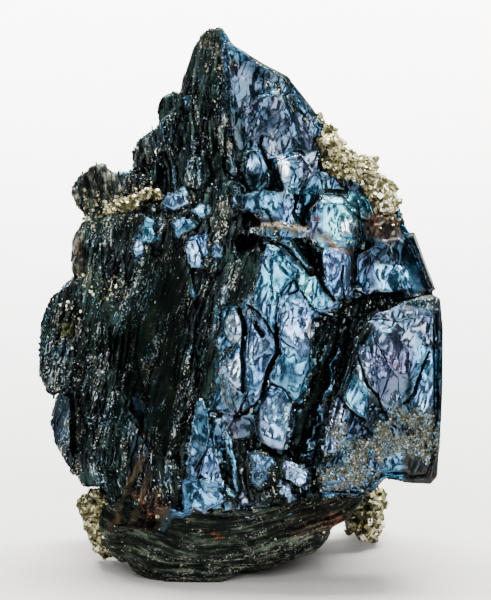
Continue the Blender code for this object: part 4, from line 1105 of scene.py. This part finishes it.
# Specks of pyrite
# Real pieces: single grains of pyrite, 0.1 to 0.3 mm, caught in the torn leaves of the upper left, round
# the tip, along the seam under the brow and over the foot. Made as small cubes seated in the surface.
SPECKS = 800
SPECK_EDGE = (0.07, 0.20)  # mm: the least, and how much more the greatest is
SPECK_ZONES = [  # each outline, and how crowded it is
    (seen(78, 190, 108, 196, 150, 180, 164, 196, 140, 218, 80, 225), 1.6),
    (seen(200, 25, 235, 40, 240, 75, 205, 70), 0.7),
    (seen(250, 215, 350, 235, 350, 258, 255, 235), 0.15),
    (seen(84, 270, 120, 280, 118, 300, 84, 296), 0.8),
    (seen(48, 300, 78, 300, 78, 350, 48, 355), 0.4),
    (seen(90, 490, 380, 480, 380, 560, 200, 590, 100, 565), 0.07),
    (seen(376, 205, 402, 208, 402, 226, 380, 224), 1.0),
]


def on_specks(points, normals):
    at = on_cleavage(points)
    facing = smooth(-0.1, 0.4, normals @ np.array(OUT))
    crowded = most([share * patch(at[:, :2], outline, 0.8) for outline, share in SPECK_ZONES], len(at))
    return crowded * facing + 1e-6


points, normals = scattered(front.data, SPECKS, chance, on_specks)
edges = MM * (SPECK_EDGE[0] + SPECK_EDGE[1] * chance.random(SPECKS) ** 3)
specks = cubes("pyrite_specks", points, edges, chance)
specks.data.materials.append(pyrite)
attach(specks, "root")

# The studio
# A pale sweep of paper under and behind the specimen, a large soft light high in front, weaker ones above and
# on the left, one on the paper, and a long lens that looks square onto the main cleavage.
SWEEP_REACH, SWEEP_BACK, SWEEP_HEIGHT, SWEEP_BEND = 1.4, 0.55, 1.1, 0.25
# the paper painted darker near the camera and paler far back: painted shade where the light falls off
PAPER_NEAR_PAINTED_SHADE = (0.33, 0.32, 0.305)
PAPER_FAR = (0.97, 0.96, 0.945)
LIGHTS = {  # place, size and watts
    "key": ((0.14, -0.62, 0.48), (0.66, 0.48), 8.4),
    "overhead": ((0.05, 0.05, 0.62), (0.5, 0.4), 3.0),
    "left": ((-0.55, -0.05, 0.30), (0.10, 0.30), 1.3),
    "sweep_light": ((0.0, 0.45, 1.0), (1.2, 0.3), 100.0),
}
LIGHT_AIM = Vector((0, 0, 0.03))

bpy.ops.mesh.primitive_plane_add(size=1)
sweep = bpy.context.object
sweep.name = "sweep"
angles = np.linspace(0, np.pi / 2, 13)
bend = [(SWEEP_BACK + SWEEP_BEND * sin(angle), SWEEP_BEND * (1 - cos(angle))) for angle in angles]
profile = [(-SWEEP_REACH, 0.0), *bend, (SWEEP_BACK + SWEEP_BEND, SWEEP_HEIGHT)]
shaped = bmesh.new()
rows = [[shaped.verts.new((side * SWEEP_REACH, y, z)) for y, z in profile] for side in (-1, 1)]
for k in range(len(profile) - 1):
    shaped.faces.new((rows[0][k], rows[1][k], rows[1][k + 1], rows[0][k + 1]))
shaped.to_mesh(sweep.data)
shaped.free()
sweep.data.polygons.foreach_set("use_smooth", np.ones(len(sweep.data.polygons), bool))
paper = Nodes("paper")
depth = paper.add("SeparateXYZ")
paper.join(paper.place, depth.inputs[0])
# painted shade: the paper darker towards the camera
far = paper.range(depth.outputs["Y"], -0.05, 0.35)
shade = paper.mix(far, PAPER_NEAR_PAINTED_SHADE, PAPER_FAR)
mottled = paper.mix(paper.noise(paper.place, 60, 2), shade, (0.72, 0.71, 0.70), "SOFT_LIGHT")
paper.finish(colour=mottled, roughness=0.8)
sweep.data.materials.append(paper.material)

for name, (spot, size, watts) in LIGHTS.items():
    light = bpy.data.lights.new(name, "AREA")
    light.shape = "RECTANGLE"
    light.size, light.size_y = size
    light.energy = watts
    lamp = bpy.data.objects.new(name, light)
    lamp.location = spot
    lamp.rotation_euler = (LIGHT_AIM - Vector(spot)).to_track_quat("-Z", "Y").to_euler()
    bpy.context.scene.collection.objects.link(lamp)

ROOM = (0.06, 0.068, 0.075, 1)  # what the specimen mirrors of the dim room
BACKDROP = (0.80, 0.79, 0.78, 1)  # what shows past the paper
world = bpy.data.worlds.new("studio")
world.use_nodes = True
bpy.context.scene.world = world
tree = world.node_tree
background = tree.nodes["Background"]
path = tree.nodes.new("ShaderNodeLightPath")
tone = tree.nodes.new("ShaderNodeMix")
tone.data_type = "RGBA"
tone.inputs[6].default_value = ROOM
tone.inputs[7].default_value = BACKDROP
tree.links.new(path.outputs["Is Camera Ray"], tone.inputs[0])
tree.links.new(tone.outputs[2], background.inputs["Color"])

CAMERA_AIM = (0.55, 28.7, 6.0)  # what the middle of the picture shows, on the cleavage, in mm
CAMERA_AWAY = 0.6
PICTURE_HEIGHT = 600 * PIXEL * MM
SENSOR = 24.0
camera = bpy.data.objects.new("camera", bpy.data.cameras.new("camera"))
bpy.context.scene.collection.objects.link(camera)
camera.data.sensor_fit = "VERTICAL"
camera.data.sensor_height = SENSOR
camera.data.lens = SENSOR * CAMERA_AWAY / PICTURE_HEIGHT
camera.location = place(*CAMERA_AIM) + CAMERA_AWAY * OUT
camera.rotation_euler = (-OUT).to_track_quat("-Z", "Y").to_euler()
bpy.context.scene.camera = camera
